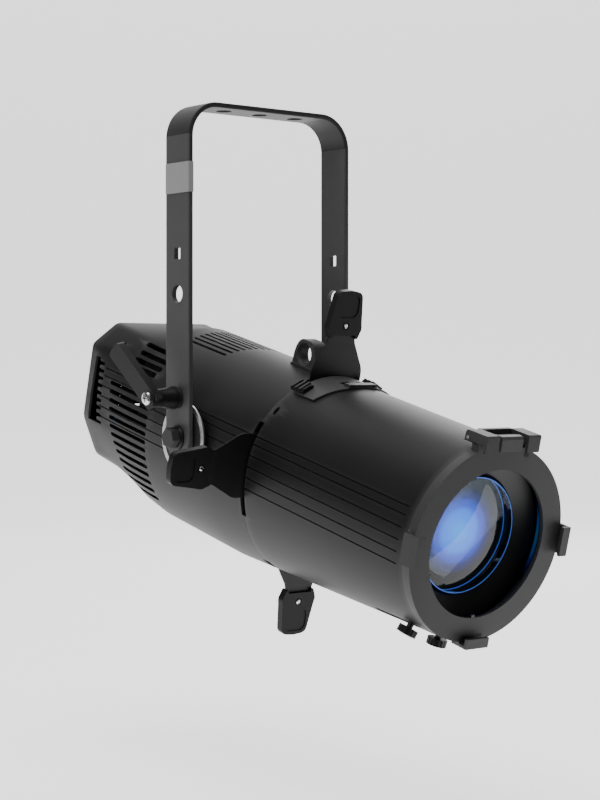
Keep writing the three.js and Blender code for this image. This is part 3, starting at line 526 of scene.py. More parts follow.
def vents():
    slots = []
    for i in range(13):
        n = 19 - 7.7 * i
        for side in (-1, 1):
            slots.append(slot_through(-134 + 1.7 * i, -64, 3.8, n, side))
    for degrees, t0, t1 in UPPER_SLOTS:
        for side in (degrees, 180 - degrees):
            slots.append(radial_slot(side, t0, t1, 5.2, 45))
    for i in range(13):
        x = -34 + 5.7 * i
        slots.append(prism([(x + h, t) for t, h in capsule(-80, -22 + 1.6 * i, 2.6)], 50, 100, "n"))
    return slots


def side_windows():
    """Tall rear openings whose front edge is stepped, like the ends of the fins behind."""
    windows = []
    for side in (-1, 1):
        outline = [(-164, 37), (-164, -24)]
        for i in range(9):
            n = -24 + 6.8 * i
            edge = -141 - 1.0 * i
            outline += [(edge, n + 0.4), (edge, n + 3.0), (edge - 8, n + 3.6), (edge - 8, n + 6.4)]
        windows.append(prism(outline, *((60, 95) if side > 0 else (-95, -60)), "x"))
    return windows


def shutter_notches():
    notches = []
    for degrees, behind, ahead in ((0, 3, 3), (90, 3, 3), (180, 3, 3), (270, 4, 5.2)):
        notch = box((55, 120), (SHUTTER_T - behind, SHUTTER_T + ahead), (-41, 41))
        notches.append(turned(notch, degrees))
    return notches


STATIONS = [t for t in range(-172, 300, 8)] + [GROOVE_SPAN[0] - 0.5, GROOVE_SPAN[0] + 0.5,
                                               GROOVE_SPAN[1] - 0.5, GROOVE_SPAN[1] + 0.5, ROUND_T]


def oval_recess(degrees, t):
    return turned(prism(ellipse(2.2, 4.2, t), 66, BEYOND_SKIN, "x"), degrees)


def rear_housing():
    body = shell("rear_housing_shell", REAR_T, SEAM_T - 0.3, STATIONS)
    cut(body, vents())
    cut(body, side_windows() + shutter_notches())
    cut(body, [oval_recess(degrees, t) for t, degrees in RECESSES[2:]])
    bosses = []
    for side in (-1, 1):
        reach = sorted((side * 74, side * 82.7))
        bosses.append(lathe([(22, reach[0]), (22, reach[1]), (4.4, reach[1]), (4.4, reach[0])], 64,
                            (0, PIVOT_RISE), "x"))
    join(body, bosses)
    return finish(body, "housing", CAST, ["rear_housing"], edge=0, angle=28)


def lens_barrel():
    body = shell("lens_barrel_shell", SEAM_T, BARREL_FRONT, STATIONS)
    slots = [radial_slot(KNOB_ANGLES["zoom"], 227, 278, 7), radial_slot(KNOB_ANGLES["focus"], 243, 281, 7)]
    cut(body, shutter_notches() + slots + [box((-17, 17), (112, 120), (60, 100))])
    cut(body, [oval_recess(degrees, t) for t, degrees in RECESSES[:2]])
    return finish(body, "housing", BARREL, ["lens_barrel"], edge=0, angle=28)


rear_housing()
lens_barrel()
for t, degrees in RECESSES:
    r = head_radius(t, math.radians(degrees)) - 9
    plug = prism(ellipse(3.6, 5.6, t), r + 3.4, r + 5.4, "x")
    screw = lathe([(0, r + 7.2), (1.0, r + 7.0), (1.9, r + 6.4), (1.9, r + 5), (0, r + 5)], 24, (t, 0), "x")
    piece(f"recess_floor_{t}_{degrees}", turned(plug, degrees), "housing", INNER, edge=0)
    piece(f"recessed_screw_{t}_{degrees}", turned(screw, degrees), "housing", DARK_BOLT, edge=0.1)


# ---- yoke ----
def yoke():
    low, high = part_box("yoke")
    half, width = high.x / MM, (high.y - low.y) / MM
    thick, bend, bottom = 4.5, 31, PIVOT.z / MM - width / 2
    line = [(-half + thick / 2, bottom)]
    line += arc(-half + bend, -bend, bend - thick / 2, 180, 90, 24)
    line += arc(half - bend, -bend, bend - thick / 2, 90, 0, 24)
    line.append((half - thick / 2, bottom))
    section = rounded(width, thick, 1.1, steps=4)
    verts = []
    for i, (x, z) in enumerate(line):
        before, after = line[max(i - 1, 0)], line[min(i + 1, len(line) - 1)]
        along = Vector((after[0] - before[0], after[1] - before[1])).normalized()
        for across, out in section:
            verts.append((x - along.y * out, across, z + along.x * out))
    count = len(section)
    faces = [tuple(range(count)), tuple(range(len(verts) - count, len(verts)))[::-1]]
    for i in range(len(line) - 1):
        for k in range(count):
            m = (k + 1) % count
            faces.append((i * count + k, i * count + m, (i + 1) * count + m, (i + 1) * count + k))
    strap = mesh_object("yoke_strap", verts, faces, ROW)
    pivot = PIVOT.z / MM
    end = [(-19, pivot), (-width / 2, pivot)] + arc(0, pivot, width / 2, 180, 360, 32)[1:-1]
    end += [(width / 2, pivot), (19, pivot), (19, pivot - 22), (-19, pivot - 22)]
    cuts = [prism(end, -half - 2, half + 2, "X")]
    holes = [disc(7.75, 0, pivot + 124.3), rounded(9, 10, 1.2, 0, pivot + 159.3), disc(4.6, 0, pivot)]
    cuts += [prism(h, -half - 2, half + 2, "X") for h in holes]
    cuts.append(prism(disc(3.4, 0, pivot + 34.3), -half - 2, 0, "X"))
    cuts += [prism(disc(7, 40 * i, 0), -8, 2, "Z") for i in (-1, 0, 1)]
    combine(strap, cuts, "DIFFERENCE", ROW)
    finish(strap, "yoke", STRAP, ["yoke"], edge=0.45)


def yoke_label():
    """Thin band on the left arm, folded round its front edge."""
    low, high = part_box("yoke_label")
    x0, y0, z0 = [v / MM for v in low]
    x1, y1, z1 = [v / MM for v in high]
    band = [(x0, y1), (x0, y0 + 0.9)] + arc(x0 + 0.9, y0 + 0.9, 0.9, 180, 270, 5)[1:]
    band += [(x1, y0), (x1, y0 + 0.5), (x0 + 0.9, y0 + 0.5), (x0 + 0.5, y0 + 0.9), (x0 + 0.5, y1)]
    piece("label_band", prism(band, z0, z1, "Z"), "yoke", LABEL, ["yoke_label"], edge=0.12, matrix=ROW)


yoke()
yoke_label()


# ---- tilt hardware ----
def tilt_hardware():
    for name, side in (("left", -1), ("right", 1)):
        low, high = head_box(f"tilt_disc_{name}")
        ring = [(31, low.x), (31, high.x), (26.6, high.x), (26.6, low.x)]
        piece(f"disc_rim_{name}", lathe(ring, 128, (0, PIVOT_RISE), "x"), "housing", BRIGHT,
              [f"tilt_disc_{name}"], edge=0.3)
        # Dark inner field of the disc: painted shade of the yoke arm; only the bright outer rim shows the
        # steel.
        plate = [(26.4, low.x + 0.4), (26.4, high.x - 0.4), (4.6, high.x - 0.4), (4.6, low.x + 0.4)]
        piece(f"disc_inner_shade_{name}", lathe(plate, 96, (0, PIVOT_RISE), "x"), "housing", CAST, edge=0.3)
        face = side * 90.45
        out = [face + side * h for h in (0, 3, 10.5, 9.2)]
        flange = lathe([(0, out[0]), (10.8, out[0]), (10.8, out[0] + side * 1.2), (9.6, out[1]),
                        (0, out[1])], 48, (0, PIVOT_RISE), "x")
        hexagon = prism(arc(0, PIVOT_RISE, 9.2, 0, 360, 6)[:-1], *sorted((out[0] + side, out[2])), "x")
        shank = lathe([(0, face - side * 18), (4, face - side * 18), (4, face + side), (0, face + side)], 24,
                      (0, PIVOT_RISE), "x")
        piece(f"bolt_flange_{name}", flange, "housing", MOULDED, [f"pivot_bolt_{name}"], joins=[shank],
              edge=0.5)
        piece(f"bolt_head_{name}", hexagon, "housing", STRAP, edge=0.8, segments=3)


tilt_hardware()


# ---- tilt lever ----
STUD = Vector(joints["tilt_lock"]["pos_m"]) / MM
LEVER_AT = (STUD.y, STUD.z)
LEVER_FACE = -90.15        # the left arm's outer face
HUB_BORE = 3.4


def lever_washer():
    face = LEVER_FACE
    collar = lathe([(HUB_BORE, face - 0.3), (9.3, face - 0.3), (9.3, face - 2.6), (8.7, face - 3.3),
                    (HUB_BORE, face - 3.3)], 48, LEVER_AT, "X")
    piece("lever_washer", collar, "tilt_lever", DARK_BOLT, ["lever_collar"], edge=0.15, matrix=ROW)


def lever_handle():
    """Waisted hub, and a flat handle that leans back from its outer end."""
    near, far = LEVER_FACE - 3.6, LEVER_FACE - 30.5
    hub = lathe([(HUB_BORE, near), (9.8, near), (10.2, near - 1), (9.6, near - 5), (8.2, near - 12),
                 (7.9, near - 18), (8.6, far), (HUB_BORE, far)], 64, LEVER_AT, "X")
    angle, lean, thick = math.radians(49), 0.2, 7.5
    along = Vector((-lean, math.cos(angle), math.sin(angle))).normalized()
    across = Vector((0, -math.sin(angle), math.cos(angle)))
    inwards = along.cross(across).normalized()
    start = Vector((LEVER_FACE, *LEVER_AT)) - inwards * 30.2
    outline = [(-2, 8.2), (12, 8.4), (58, 8.2)] + arc(61, 5.2, 3, 90, 0, 6) + arc(61, -5.4, 3, 0, -90, 6)
    outline += [(58, -8.4), (12, -8.4), (-2, -8.2)]
    verts, faces = prism(outline, 0, thick, "Z")
    place = Matrix((along, across, inwards)).transposed()
    verts = [tuple(start + place @ Vector(v)) for v in verts]
    lever = mesh_object("lever_handle", *hub, ROW)
    join(lever, [(verts, faces)], ROW)
    cut(lever, [prism(disc(HUB_BORE, *LEVER_AT), LEVER_FACE - 40, LEVER_FACE + 2, "X")], ROW)
    finish(lever, "tilt_lever", MOULDED, ["tilt_lever"], edge=1.2, segments=3)


def lever_screw():
    end = LEVER_FACE - 30.8
    head = lathe([(0, end + 3), (2.9, end + 3), (2.9, end), (5.9, end), (5.9, end - 1.6), (5.0, end - 2.8),
                  (3.4, end - 3.3), (0, end - 3.4)], 48, LEVER_AT, "X")
    cross = [prism(rounded(*size, 0.4, *LEVER_AT), end - 5, end - 1.7, "X")
             for size in ((6.4, 1.5), (1.5, 6.4))]
    piece("lever_screw_head", head, "tilt_lever", SCREW, ["lever_screw"], cuts=cross, edge=0.15, matrix=ROW)


lever_washer()
lever_handle()
lever_screw()


# ---- shutters ----
GRIP_LENGTH, GRIP_WIDTH, GRIP_THICK = 42, 36, 6.5
GRIP_SCREW = 11.5          # from the grip's inner end
BLADE_THICK = 0.8
SHUTTERS = (               # name, direction in degrees, offset along n, reach from the axis
    ("right", 0, 0, 155.5), ("top", 90, -3, 155.5), ("left", 180, -3, 155.5), ("bottom", 270, 0, 152.5),
)


def shutter_blade(plane, neck):
    """Steel blade that narrows to a tongue inside the grip, and the hole for the grip's screw."""
    half, slim = 28, 14.5
    edge = [(39, half), (82, half)] + curve((82, half), (88, half), (93, half - 3.5), 8)
    edge += [(neck - 5, slim + 1.6)] + curve((neck - 5, slim + 1.6), (neck - 2, slim), (neck + 3, slim), 4)
    edge += [(neck + 3, slim - 4), (neck + 24, slim - 4)]
    outline = edge + [(a, -b) for a, b in reversed(edge)]
    blade = prism(outline, plane - BLADE_THICK / 2, plane + BLADE_THICK / 2, "t")
    return blade, prism(disc(1.8, neck + GRIP_SCREW, 0, 24), plane - 5, plane + 5, "t")


def grip_body(plane, neck, reach):
    wide = GRIP_WIDTH / 2
    rim = [(neck + 3.2, 12), (neck, wide - 4.4), (neck + 0.6, wide - 3), (neck + 8, wide)]
    rim += curve((neck + 8, wide), (neck + 10, wide + 0.3), (neck + 14, wide - 0.8), 4)
    rim += [(reach - 6, wide - 4)]
    rim += curve((reach - 6, wide - 4), (reach - 1.6, wide - 4.8), (reach - 0.8, wide - 10), 6)
    rim += [(reach, 0)]
    outline = rim + [(a, -b) for a, b in reversed(rim[:-1])]
    return prism(outline, plane - GRIP_THICK / 2, plane + GRIP_THICK / 2, "t")


def grip_recesses(plane, neck):
    """A shallow pad on each face of the grip, and the screw's seat."""
    pad = rounded(20, GRIP_WIDTH - 13, 6, neck + 28.5, 0)
    parts = []
    for face in (-1, 1):
        depth = sorted((plane + face * (GRIP_THICK / 2 - 0.8), plane + face * GRIP_THICK))
        parts.append(prism(pad, *depth, "t"))
    seat = disc(3.4, neck + GRIP_SCREW, 0, 32)
    parts.append(prism(seat, plane + GRIP_THICK / 2 - 1.3, plane + GRIP_THICK, "t"))
    return parts


def grip_screw(plane, neck):
    """Domed screw head, and the slot across it."""
    top = plane + GRIP_THICK / 2 + 0.5
    x = neck + GRIP_SCREW
    head = lathe([(0, top), (1.4, top), (2.2, top - 0.5), (2.4, top - 1.7), (0, top - 1.8)], 32, (x, 0), "t")
    return head, box((x - 1.7, x + 1.7), (top - 0.6, top + 1), (-0.4, 0.4))


def shutter(side, degrees, offset, reach):
    def placed(parts):
        return [turned(raised(part, offset), degrees) for part in parts]

    plane = SHUTTER_T + (1 if degrees % 180 else -1)
    neck = reach - GRIP_LENGTH
    body = f"shutter_{side}"
    blade, hole = placed(shutter_blade(plane, neck))
    piece(f"blade_{side}", blade, body, BLADE, [f"shutter_blade_{side}"], cuts=[hole], edge=0.15)
    grip = mesh_object(f"grip_{side}", *placed([grip_body(plane, neck, reach)])[0])
    cut(grip, placed(grip_recesses(plane, neck)))
    cut(grip, placed([box((neck - 1, neck + 5), (plane - 0.7, plane + 0.7), (-15, 15))]))
    finish(grip, body, GRIPS, [f"shutter_grip_{side}"], edge=0.9, segments=3)
    head, slot = placed(grip_screw(plane, neck))
    piece(f"grip_screw_{side}", head, body, SCREW, [f"shutter_screw_{side}"], cuts=[slot], edge=0.1)


for settings in SHUTTERS:
    shutter(*settings)


# ---- top of the head ----
def safety_eye():
    foot = 79.6
    outline = [(36.5, foot - 1.5), (37, foot + 6)]
    outline += curve((37, foot + 6), (38.5, foot + 22), (47, foot + 24.3), 10) + [(56, foot + 24.3)]
    outline += curve((56, foot + 24.3), (61.5, foot + 24), (63.5, foot + 20), 6)
    outline += [(70.5, foot + 2.5), (71, foot - 1.5)]
    eye = mesh_object("eye_lug", *prism(outline, -6.5, 6.5, "x"))
    centre = (51, foot + 11.5)
    cut(eye, [prism(disc(7.6, *centre), -10, 10, "x")])
    mouths = [lathe([(0, x), (10.0, x), (7.4, x - side * 2.6), (0, x - side * 2.6)], 48, centre, "x")
              for side, x in ((-1, -6.6), (1, 6.6))]
    cut(eye, mouths)
    flange = prism([(x, t + 54) for x, t in rounded(17, 39, 4)], foot - 1.5, foot + 1.8, "n")
    join(eye, [flange])
    cut(eye, [lathe([(0, 20), (TOP_RISE + 0.25, 20), (TOP_RISE + 0.25, 84), (0, 84)], 180)])
    finish(eye, "housing", CAST, ["safety_eye"], edge=1.1, segments=3)


def banded(t0, t1, angles, low, high):
    """Curved band over the top of the head, between two radii; its front edge runs back at both ends."""
    steps = 60

    def ring(inset, front):
        out = []
        for i in range(steps + 1):
            degrees = angles[0] + (angles[1] - angles[0]) * i / steps
            away = min(1, max(0, (abs(degrees - 90) - 12) / 21))
            t = t1 - 8.5 * away ** 0.8 if front else t0
            r = head_radius(t, math.radians(degrees)) + inset
            out.append((r * math.cos(math.radians(degrees)), -t, r * math.sin(math.radians(degrees))))
        return out
    rows = [ring(low, False), ring(high, False), ring(high, True), ring(low, True)]
    verts = [v for row in rows for v in row]
    count = steps + 1
    faces = []
    for i in range(4):
        j = (i + 1) % 4
        for k in range(steps):
            faces.append((i * count + k, i * count + k + 1, j * count + k + 1, j * count + k))
    faces += [tuple(i * count for i in range(4)), tuple(i * count + steps for i in range(4))[::-1]]
    return verts, faces


def accessory_cover():
    low, high = head_box("accessory_cover")
    cover = mesh_object("slot_cover", *banded(low.y, high.y, (57, 123), 0.3, 1.9))
    hood = box((-15, 15), (high.y - 7, high.y), (TOP_RISE + 0.4, 83.2))
    join(cover, [hood])
    mouth = [box((-13, 13), (high.y - 16, high.y - 3), (70, 81.8)),
             box((-13.6, 13.6), (high.y - 1.4, high.y + 1), (80.9, 82.4))]
    combine(cover, mouth, "DIFFERENCE")
    finish(cover, "housing", CAST, ["accessory_cover"], edge=0.5)
    # Dark strip in the hood's front recess: painted shade inside the recess.
    mouth_shade = prism(rounded(25.4, 3.6, 0.8, 0, high.y - 4.2), TOP_RISE + 0.2, 81.7, "n")
    piece("hood_mouth_shade", mouth_shade, "housing", INNER, edge=0.2)
    for name, degrees in (("left", 118), ("right", 62)):
        base = box((82.3, 84.4), (86, 103), (-6, 6))
        ribs = [box((84.0, 86.2), (t, t + 2.6), (-6, 6)) for t in (87, 92.2, 97.4)]
        toe = prism([(99.5, -6), (103, -3.5), (103, 3.5), (99.5, 6)], 84.2, 85.4, "x")
        parts = [turned(p, degrees) for p in (base, *ribs, toe)]
        piece(f"clip_{name}", parts[0], "housing", MOULDED, [f"cover_clip_{name}"],
              joins=parts[1:], edge=0.3)


safety_eye()
accessory_cover()


# ---- front ring and colour-frame holder ----
HOOK_WALL, HOOK_HALF = 80.2, 12
SLOT_FRONT = RING_T + 6
LIP_FRONT = SLOT_FRONT + 2.5
GATE_HALF = 29
GATE_PIN_HOLE = prism(disc(1.9, *GATE_PIVOT, 24), -60, 60, "x")


def frame_hook(degrees):
    """Hook of the colour-frame slot: a wall behind and a lip in front."""
    profile = [(74, RING_BACK), (82.6, RING_BACK), (82.6, LIP_FRONT), (74.5, LIP_FRONT), (74.5, SLOT_FRONT),
               (HOOK_WALL, SLOT_FRONT), (HOOK_WALL, RING_T), (74, RING_T)]
    return turned(prism(profile, -HOOK_HALF, HOOK_HALF, "n"), degrees)


def gate_lug(side):
    """Lug that carries one end of the frame gate's pin."""
    lug = [(RING_T, 70), (RING_T, 80.4), (288.8, 80.4), (288.8, 83.5)]
    lug += arc(*GATE_PIVOT, 3.8, 0, 180, 12)[1:] + [(281.2, 80.9), (280.2, 80.9), (280.2, 80.4)]
    lug += [(RING_BACK + 0.2, 80.4), (RING_BACK + 0.2, 70)]
    return prism(lug, *sorted((side * (GATE_HALF - 7), side * (GATE_HALF - 1))), "x")


def front_ring():
    radius, flat = 80, 79.2
    reach = math.degrees(math.acos(flat / radius))
    outline = []
    for quarter in (0, 90, 180, 270):
        outline += arc(0, 0, radius, quarter + reach, quarter + 90 - reach, 24)
    ring = mesh_object("ring_plate", *prism(outline, RING_BACK, RING_T, "t"))
    skirt = lathe([(0, RING_BACK - 5.5), (75, RING_BACK - 5.5), (75, RING_BACK + 0.5), (0, RING_BACK + 0.5)])
    join(ring, [skirt, *map(frame_hook, (0, 180, 270)), *map(gate_lug, (-1, 1))])
    bore = lathe([(0, RING_BACK - 8), (68.4, RING_BACK - 8), (68, RING_BACK - 5.5), (60.2, RING_T - 3),
                  (60.2, RING_T + 2), (0, RING_T + 2)], 160)
    combine(ring, [bore, GATE_PIN_HOLE], "DIFFERENCE")
    finish(ring, "housing", CAST, ["front_ring"], edge=0.6)


def hood_glint():
    """Arc of blue light on the right of the hood's wall."""
    steps = 30
    count = steps + 1
    verts = []
    for r, t in ((67.6, 284.4), (62.4, 293.4), (62.0, 293.2), (67.2, 284.2)):
        verts += [(a, -t, b) for a, b in arc(0, 0, r, -34, 26, steps)]
    faces = [(count * i + k, count * i + k + 1, count * j + k + 1, count * j + k)
             for i, j in ((0, 1), (1, 2), (2, 3), (3, 0)) for k in range(steps)]
    faces += [tuple(count * i + end for i in range(4)) for end in (0, steps)]
    piece("hood_glint", (verts, faces), "housing", HOOD_GLOW, edge=0)


def bore_screw():
    """Small screw low in the ring's bore."""
    profile = [(0, 3.2), (2.08, 3.2), (2.08, 1.2), (1.2, 0.3), (0, 0)]
    verts, faces = lathe(profile, 24)
    verts = [(x - 1, y - 294.5, n - 59.7) for x, y, n in verts]
    piece("bore_screw", (verts, faces), "housing", DARK_BOLT, edge=0.15)


def frame_gate():
    low, high = head_box("frame_gate")
    top, front = high.z, high.y
    profile = [(low.y, 81.4), (low.y + 0.01, top - 3)] + arc(low.y + 3, top - 3, 3, 180, 90, 6)
    profile += [(front - 1, top), (front, top - 1), (front, 76), (SLOT_FRONT + 0.2, 76),
                (SLOT_FRONT + 0.2, 81.4)]
    gate = mesh_object("gate_block", *prism(profile, -GATE_HALF, GATE_HALF, "x"))
    rooms = []
    for side in (-1, 1):
        xs = sorted((side * (GATE_HALF - 7.4), side * (GATE_HALF - 0.6)))
        rooms.append(box(xs, (270, 291), (60, top - 0.7)))
    rooms.append(box((-16, 16), (284, front + 1), (60, 100)))
    cut(gate, rooms)
    cut(gate, [GATE_PIN_HOLE])
    join(gate, [box((-17, 17), (low.y, 286), (85.5, top))])
    finish(gate, "frame_gate", CAST, ["frame_gate"], edge=0.5)
    latch = [(front - 1.4, 76.5), (front - 3.2, 76.5), (front - 3.6, 81.5), (front - 8, 82.5), (289.5, 84.2),
             (289.5, 86.2), (front - 6.5, 88.6), (front - 3, 88.2), (front - 1.4, 86)]
    slots = [box((x - 1.6, x + 1.6), (292, front - 8.5), (70, 100)) for x in (-6, 0, 6)]
    piece("gate_latch", prism(latch, -11.5, 11.5, "x"), "frame_latch", BLADE, ["frame_latch"], cuts=slots,
          edge=0.4)
    pin = lathe([(0, -GATE_HALF), (1.5, -GATE_HALF), (1.5, GATE_HALF), (0, GATE_HALF)], 24, GATE_PIVOT, "x")
    piece("hinge_pin", pin, "housing", ZINC, ["gate_pin"], edge=0.2)


front_ring()
hood_glint()
bore_screw()
frame_gate()


# ---- lenses and their carriages ----
def dome(radius, start, end, sag):
    """Half profile from the axis out to the rim and back: a flat back and a domed front."""
    steps = 10
    front = [(radius * (1 - i / steps), end + sag * (1 - (1 - i / steps) ** 2)) for i in range(steps + 1)]
    return [(0, start), (radius, start)] + front


def focus_lens():
    profile = [(0, 256)] + [(47 * i / 8, 256 + 2 * (i / 8) ** 2) for i in range(1, 9)]
    profile += [(47, 276)] + [(47 * (1 - i / 12), 276 + 7 * (1 - (1 - i / 12) ** 2)) for i in range(1, 13)]
    piece("front_lens", lathe(profile, 128), "focus_carriage", GLASS, ["focus_lens"], edge=0)
    element = lathe([(0, 254.4), (38, 254.4), (38, 255.4), (0, 255.6)], 96)
    piece("lit_element", element, "focus_carriage", LIT_LENS, edge=0)
    # Thin glowing rings at both rims of the front lens: painted glints.
    for name, t, radius in (("rear", 252.6, 46.2), ("front", 275.6, 47.3)):
        piece(f"lens_rim_glint_{name}", lathe(disc(0.5, radius, t, 12), 128), "focus_carriage", RIM_GLOW, edge=0)
    holder = [(68, 256), (68, 281), (66.2, 281), (50.2, 273), (49.4, 266), (49.4, 262), (65, 262), (65, 256)]
    carriage = mesh_object("focus_holder", *lathe(holder, 128))
    post = lathe([(0, 66.5), (2.6, 66.5), (2.6, 88), (0, 88)], 24, (KNOB_T["focus"], 0), "x")
    join(carriage, [turned(post, KNOB_ANGLES["focus"])])
    passage = box((65.8, 90), (247, 290), (-6.5, 6.5))
    cut(carriage, [turned(passage, KNOB_ANGLES["zoom"])])
    finish(carriage, "focus_carriage", INNER, ["focus_carriage"], edge=0.3, segments=1)


def zoom_lens():
    low = head_box("zoom_lens")[0].y
    piece("middle_lens", lathe(dome(56, low, low + 5, 14), 96), "zoom_carriage", GLASS, ["zoom_lens"],
          edge=0)
    ring = lathe([(69, 186), (69, 198), (57.2, 198), (57.2, 186), (53, 185.7), (53, 183.8), (61, 183.8),
                  (61, 186)], 96)
    holder = mesh_object("zoom_holder", *ring)
    arm = box((67.5, 71), (186, 272), (-5, 5))
    post = lathe([(0, 68), (2.6, 68), (2.6, 88), (0, 88)], 24, (KNOB_T["zoom"], 0), "x")
    join(holder, [turned(p, KNOB_ANGLES["zoom"]) for p in (arm, post)])
    finish(holder, "zoom_carriage", INNER, ["zoom_carriage"], edge=0.3, segments=1)


def knobs():
    for name, foot in (("zoom", 85), ("focus", 84.9)):
        degrees, t = KNOB_ANGLES[name], KNOB_T[name]
        knob = []
        for i in range(80):
            angle = 2 * math.pi * i / 80
            radius = 8.2 - 0.55 * (1 + math.cos(angle * 16)) / 2
            knob.append((t + radius * math.cos(angle), radius * math.sin(angle)))
        cap = [(0, foot + 5.4), (6.2, foot + 5.4), (5.4, foot + 6.2), (0, foot + 6.2)]
        cap = lathe(cap, 48, (t, 0), "x")
        parts = [turned(p, degrees) for p in (prism(knob, foot, foot + 5.8, "x"), cap)]
        piece(f"knob_{name}", parts[0], f"{name}_carriage", MOULDED, [f"{name}_knob"], joins=parts[1:],
              edge=0.35)


focus_lens()
zoom_lens()
piece("condenser", lathe(dome(43, 48, 52, 12), 96), "housing", GLASS, ["condenser_lens"], edge=0)
knobs()


# ---- rear panel and fan ----
SOCKETS = (        # name, node, x, outer radius, bore, material
    ("inlet", "power_inlet", -36, 12, 9.5, BLUE_PLUG),
    ("outlet", "power_outlet", -6, 12, 9.5, GREY_PLUG),
    ("data_input", "data_in", 24, 10, 8, ALUMINIUM),
    ("data_output", "data_out", 50, 10, 8, ALUMINIUM),
)
SOCKET_N = -36
BUTTON_N = 16
BUTTON_XS = [-24 + 16 * i for i in range(4)]
DISPLAY_N = 38
PANEL_SCREWS = ((-62, 38), (62, 38), (-62, -10), (62, -10))


def rear_panel():
    back = REAR_T + 0.5
    depth = (back - 1, back + 4)
    steps = 120
    outline = []
    for i in range(steps):
        angle = 2 * math.pi * i / steps
        r = head_radius(REAR_T, angle, WALL + 0.35)
        outline.append((r * math.cos(angle), r * math.sin(angle)))
    panel = mesh_object("control_panel", *prism(outline, back, back + 2.5, "t"))
    holes = [prism(rounded(52, 24, 2, 0, DISPLAY_N), *depth, "t")]
    holes += [prism(rounded(80, 2.4, 1.1, 0, -12.8 + 4.6 * i, 4), *depth, "t") for i in range(5)]
    holes += [prism(disc(4.3, x, BUTTON_N, 32), *depth, "t") for x in BUTTON_XS]
    holes += [prism(disc(outer + 0.4, x, SOCKET_N), *depth, "t") for _, _, x, outer, *_ in SOCKETS]
    cut(panel, holes)
    finish(panel, "housing", MOULDED, ["rear_panel"], edge=0.3)


def sockets():
    back = REAR_T
    for name, node, x, outer, bore, mat in SOCKETS:
        rim = outer + 1.6
        profile = [(bore, back + 3), (bore, back - 1.0), (bore + 0.6, back - 1.6), (rim - 0.6, back - 1.6),
                   (rim, back - 1.0), (rim, back + 0.2), (outer, back + 0.2), (outer, back + 5),
                   (0.01, back + 5), (0.01, back + 3)]
        core = lathe([(0, back + 3.6), (bore - 2.4, back + 3.6), (bore - 2.4, back + 0.8),
                      (bore - 3, back + 0.2), (0, back + 0.2)], 48, (x, SOCKET_N), "t")
        pins = [prism(disc(1.0, a, b, 12), back - 3, back + 2, "t")
                for a, b in arc(x, SOCKET_N, 3, 90, 330, 2)]
        piece(f"socket_{name}", lathe(profile, 64, (x, SOCKET_N), "t"), "housing", mat, [node], edge=0)
        piece(f"socket_core_{name}", core, "housing", INNER, cuts=[merged(pins)], edge=0.15)


def panel_fittings():
    low, high = head_box("display")
    screen = prism(rounded(51.2, 23.2, 1.6, 0, DISPLAY_N), low.y, high.y, "t")
    piece("display_window", screen, "housing", SCREEN, ["display"], edge=0.4)
    face = REAR_T
    for i, x in enumerate(BUTTON_XS):
        cap = [(0, face - 1.4), (2.9, face - 1.3), (3.6, face - 0.9), (3.9, face), (3.9, face + 3.4),
               (5.2, face + 3.4), (5.2, face + 5), (0, face + 5)]
        piece(f"button_cap_{i + 1}", lathe(cap, 40, (x, BUTTON_N), "t"), f"menu_button_{i + 1}", MOULDED,
              [f"menu_button_{i + 1}"], edge=0)
    back = REAR_T + 0.5
    for k, (x, n) in enumerate(PANEL_SCREWS):
        head = lathe([(0, back - 1.3), (1.8, back - 1.2), (3.0, back - 0.6), (3.2, back - 0.05),
                      (0, back - 0.05)], 32, (x, n), "t")
        cross = box((x - 1.9, x + 1.9), (back - 3, back - 0.7), (n - 0.45, n + 0.45))
        piece(f"panel_screw_{k + 1}", head, "housing", DARK_BOLT, cuts=[cross], edge=0.1)


def fan():
    low, high = head_box("fan_frame")
    t0, t1 = low.y, high.y
    body = mesh_object("fan_housing", *prism(rounded(92, 92, 5), t0, t1, "t"))
    cut(body, [lathe([(0, t0 - 1), (44.4, t0 - 1), (44, t0 + 2), (44, t1 - 2), (44.4, t1 + 1),
                      (0, t1 + 1)])])
    spokes = [turned(box((-44.5, 44.5), (t1 - 2.5, t1), (-2, 2)), a) for a in (0, 60, 120)]
    join(body, spokes + [prism(disc(17), t1 - 2.5, t1, "t")])
    finish(body, "housing", MOULDED, ["fan_frame"], edge=0.5)
    blades = []
    for i in range(7):
        verts, faces = [], []
        for j in range(7):
            r = 16 + 25.3 * j / 6
            pitch = math.radians(52 - 22 * j / 6)
            sweep = math.radians(16 * j / 6)
            for u in (-9.5, -3, 3, 9.5):
                for thick in (-0.55, 0.55):
                    t = (t0 + t1) / 2 - 0.6 + u * math.cos(pitch) * 0.9 + thick * math.sin(pitch)
                    angle = sweep + (u * math.sin(pitch) - thick * math.cos(pitch)) / r * 0.9
                    verts.append((r * math.cos(angle), -t, r * math.sin(angle)))
        ring = (0, 2, 4, 6, 7, 5, 3, 1)
        for j in range(6):
            for k in range(8):
                a, b = ring[k], ring[(k + 1) % 8]
                faces.append((8 * j + a, 8 * j + b, 8 * (j + 1) + b, 8 * (j + 1) + a))
        faces += [ring, tuple(48 + k for k in reversed(ring))]
        blades.append(turned((verts, faces), i * 360 / 7))
    hub = lathe([(0, t0 + 2), (16.5, t0 + 2), (18, t0 + 3.5), (18, t1 - 3.2), (0, t1 - 3.2)], 64)
    piece("fan_blades", hub, "fan_rotor", MOULDED, ["fan_rotor"], joins=blades, edge=0.2, segments=1)


rear_panel()
sockets()
panel_fittings()
fan()

# ---- CAD pieces that keep their shape ----
for node, mat in KEEP.items():
    mesh = frame["nodes"][node].data
    mesh.materials.clear()
    mesh.materials.append(mat)


# ---- studio ----
CAMERA_TURN = math.radians(-39.02)
FLOOR_Z = -0.585
SUBJECT = (0, -0.05, -0.28)


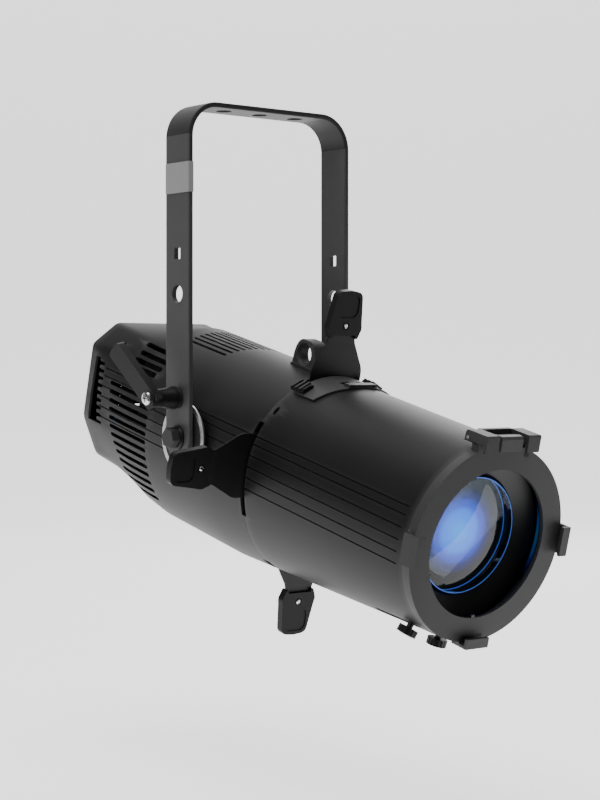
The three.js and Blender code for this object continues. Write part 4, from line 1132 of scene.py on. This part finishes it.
def backdrop():
    """Pale paper: a floor that sweeps up into a wall, square to the camera."""
    start, bend, sweep, top = -0.35, 2.2, 1.6, 6.0
    points = [(start, FLOOR_Z), (bend, FLOOR_Z)]
    points += [(bend + sweep * math.sin(a), FLOOR_Z + sweep * (1 - math.cos(a))) for a in
               (math.radians(90 * i / 16) for i in range(1, 17))] + [(bend + sweep, top)]
    turn = Matrix.Rotation(CAMERA_TURN, 4, "Z")
    verts = [turn @ Vector((x, y, z)) for y, z in points for x in (-6, 6)]
    faces = [(2 * i, 2 * i + 1, 2 * i + 3, 2 * i + 2) for i in range(len(points) - 1)]
    floor = mesh_object("studio_floor", verts, faces, Matrix.Identity(4))
    paper = material("floor_paper", (0.80, 0.80, 0.80), 0.7, grain=300, bump=0.01, tint=0.01)
    lit(paper, (1, 1, 1, 1), 1.3)
    floor.data.materials.append(paper)
    floor.data.shade_smooth()


def softbox(name, place, size, power):
    data = bpy.data.lights.new(name, "AREA")
    data.shape = "RECTANGLE"
    data.size, data.size_y = size
    data.energy = power
    lamp = bpy.data.objects.new(name, data)
    lamp.location = place
    lamp.rotation_euler = (Vector(SUBJECT) - Vector(place)).to_track_quat("-Z", "Y").to_euler()
    bpy.context.scene.collection.objects.link(lamp)


def lights():
    world = bpy.data.worlds.new("studio")
    bpy.context.scene.world = world
    world.use_nodes = True
    world.node_tree.nodes["Background"].inputs["Color"].default_value = (1, 1, 1, 1)
    world.node_tree.nodes["Background"].inputs["Strength"].default_value = 0.10
    softbox("key_top", (-0.2, -0.3, 1.6), (1.6, 1.6), 33)
    softbox("fill_left", (-2.2, -0.4, 0.3), (1.0, 1.6), 10)
    softbox("rim_right", (1.5, 1.2, 0.7), (0.6, 1.8), 10)
    softbox("front_fill", (-0.6, -2.4, 0.2), (1.2, 1.2), 1.2)


def add_camera():
    data = bpy.data.cameras.new("camera")
    data.lens = 82.9
    data.sensor_width = 36
    data.shift_y = -0.0375
    camera = bpy.data.objects.new("camera", data)
    camera.location = (-1.011, -1.305, -0.2326)
    camera.rotation_euler = (math.radians(90), 0, CAMERA_TURN)
    bpy.context.scene.collection.objects.link(camera)
    bpy.context.scene.camera = camera


backdrop()
lights()
add_camera()
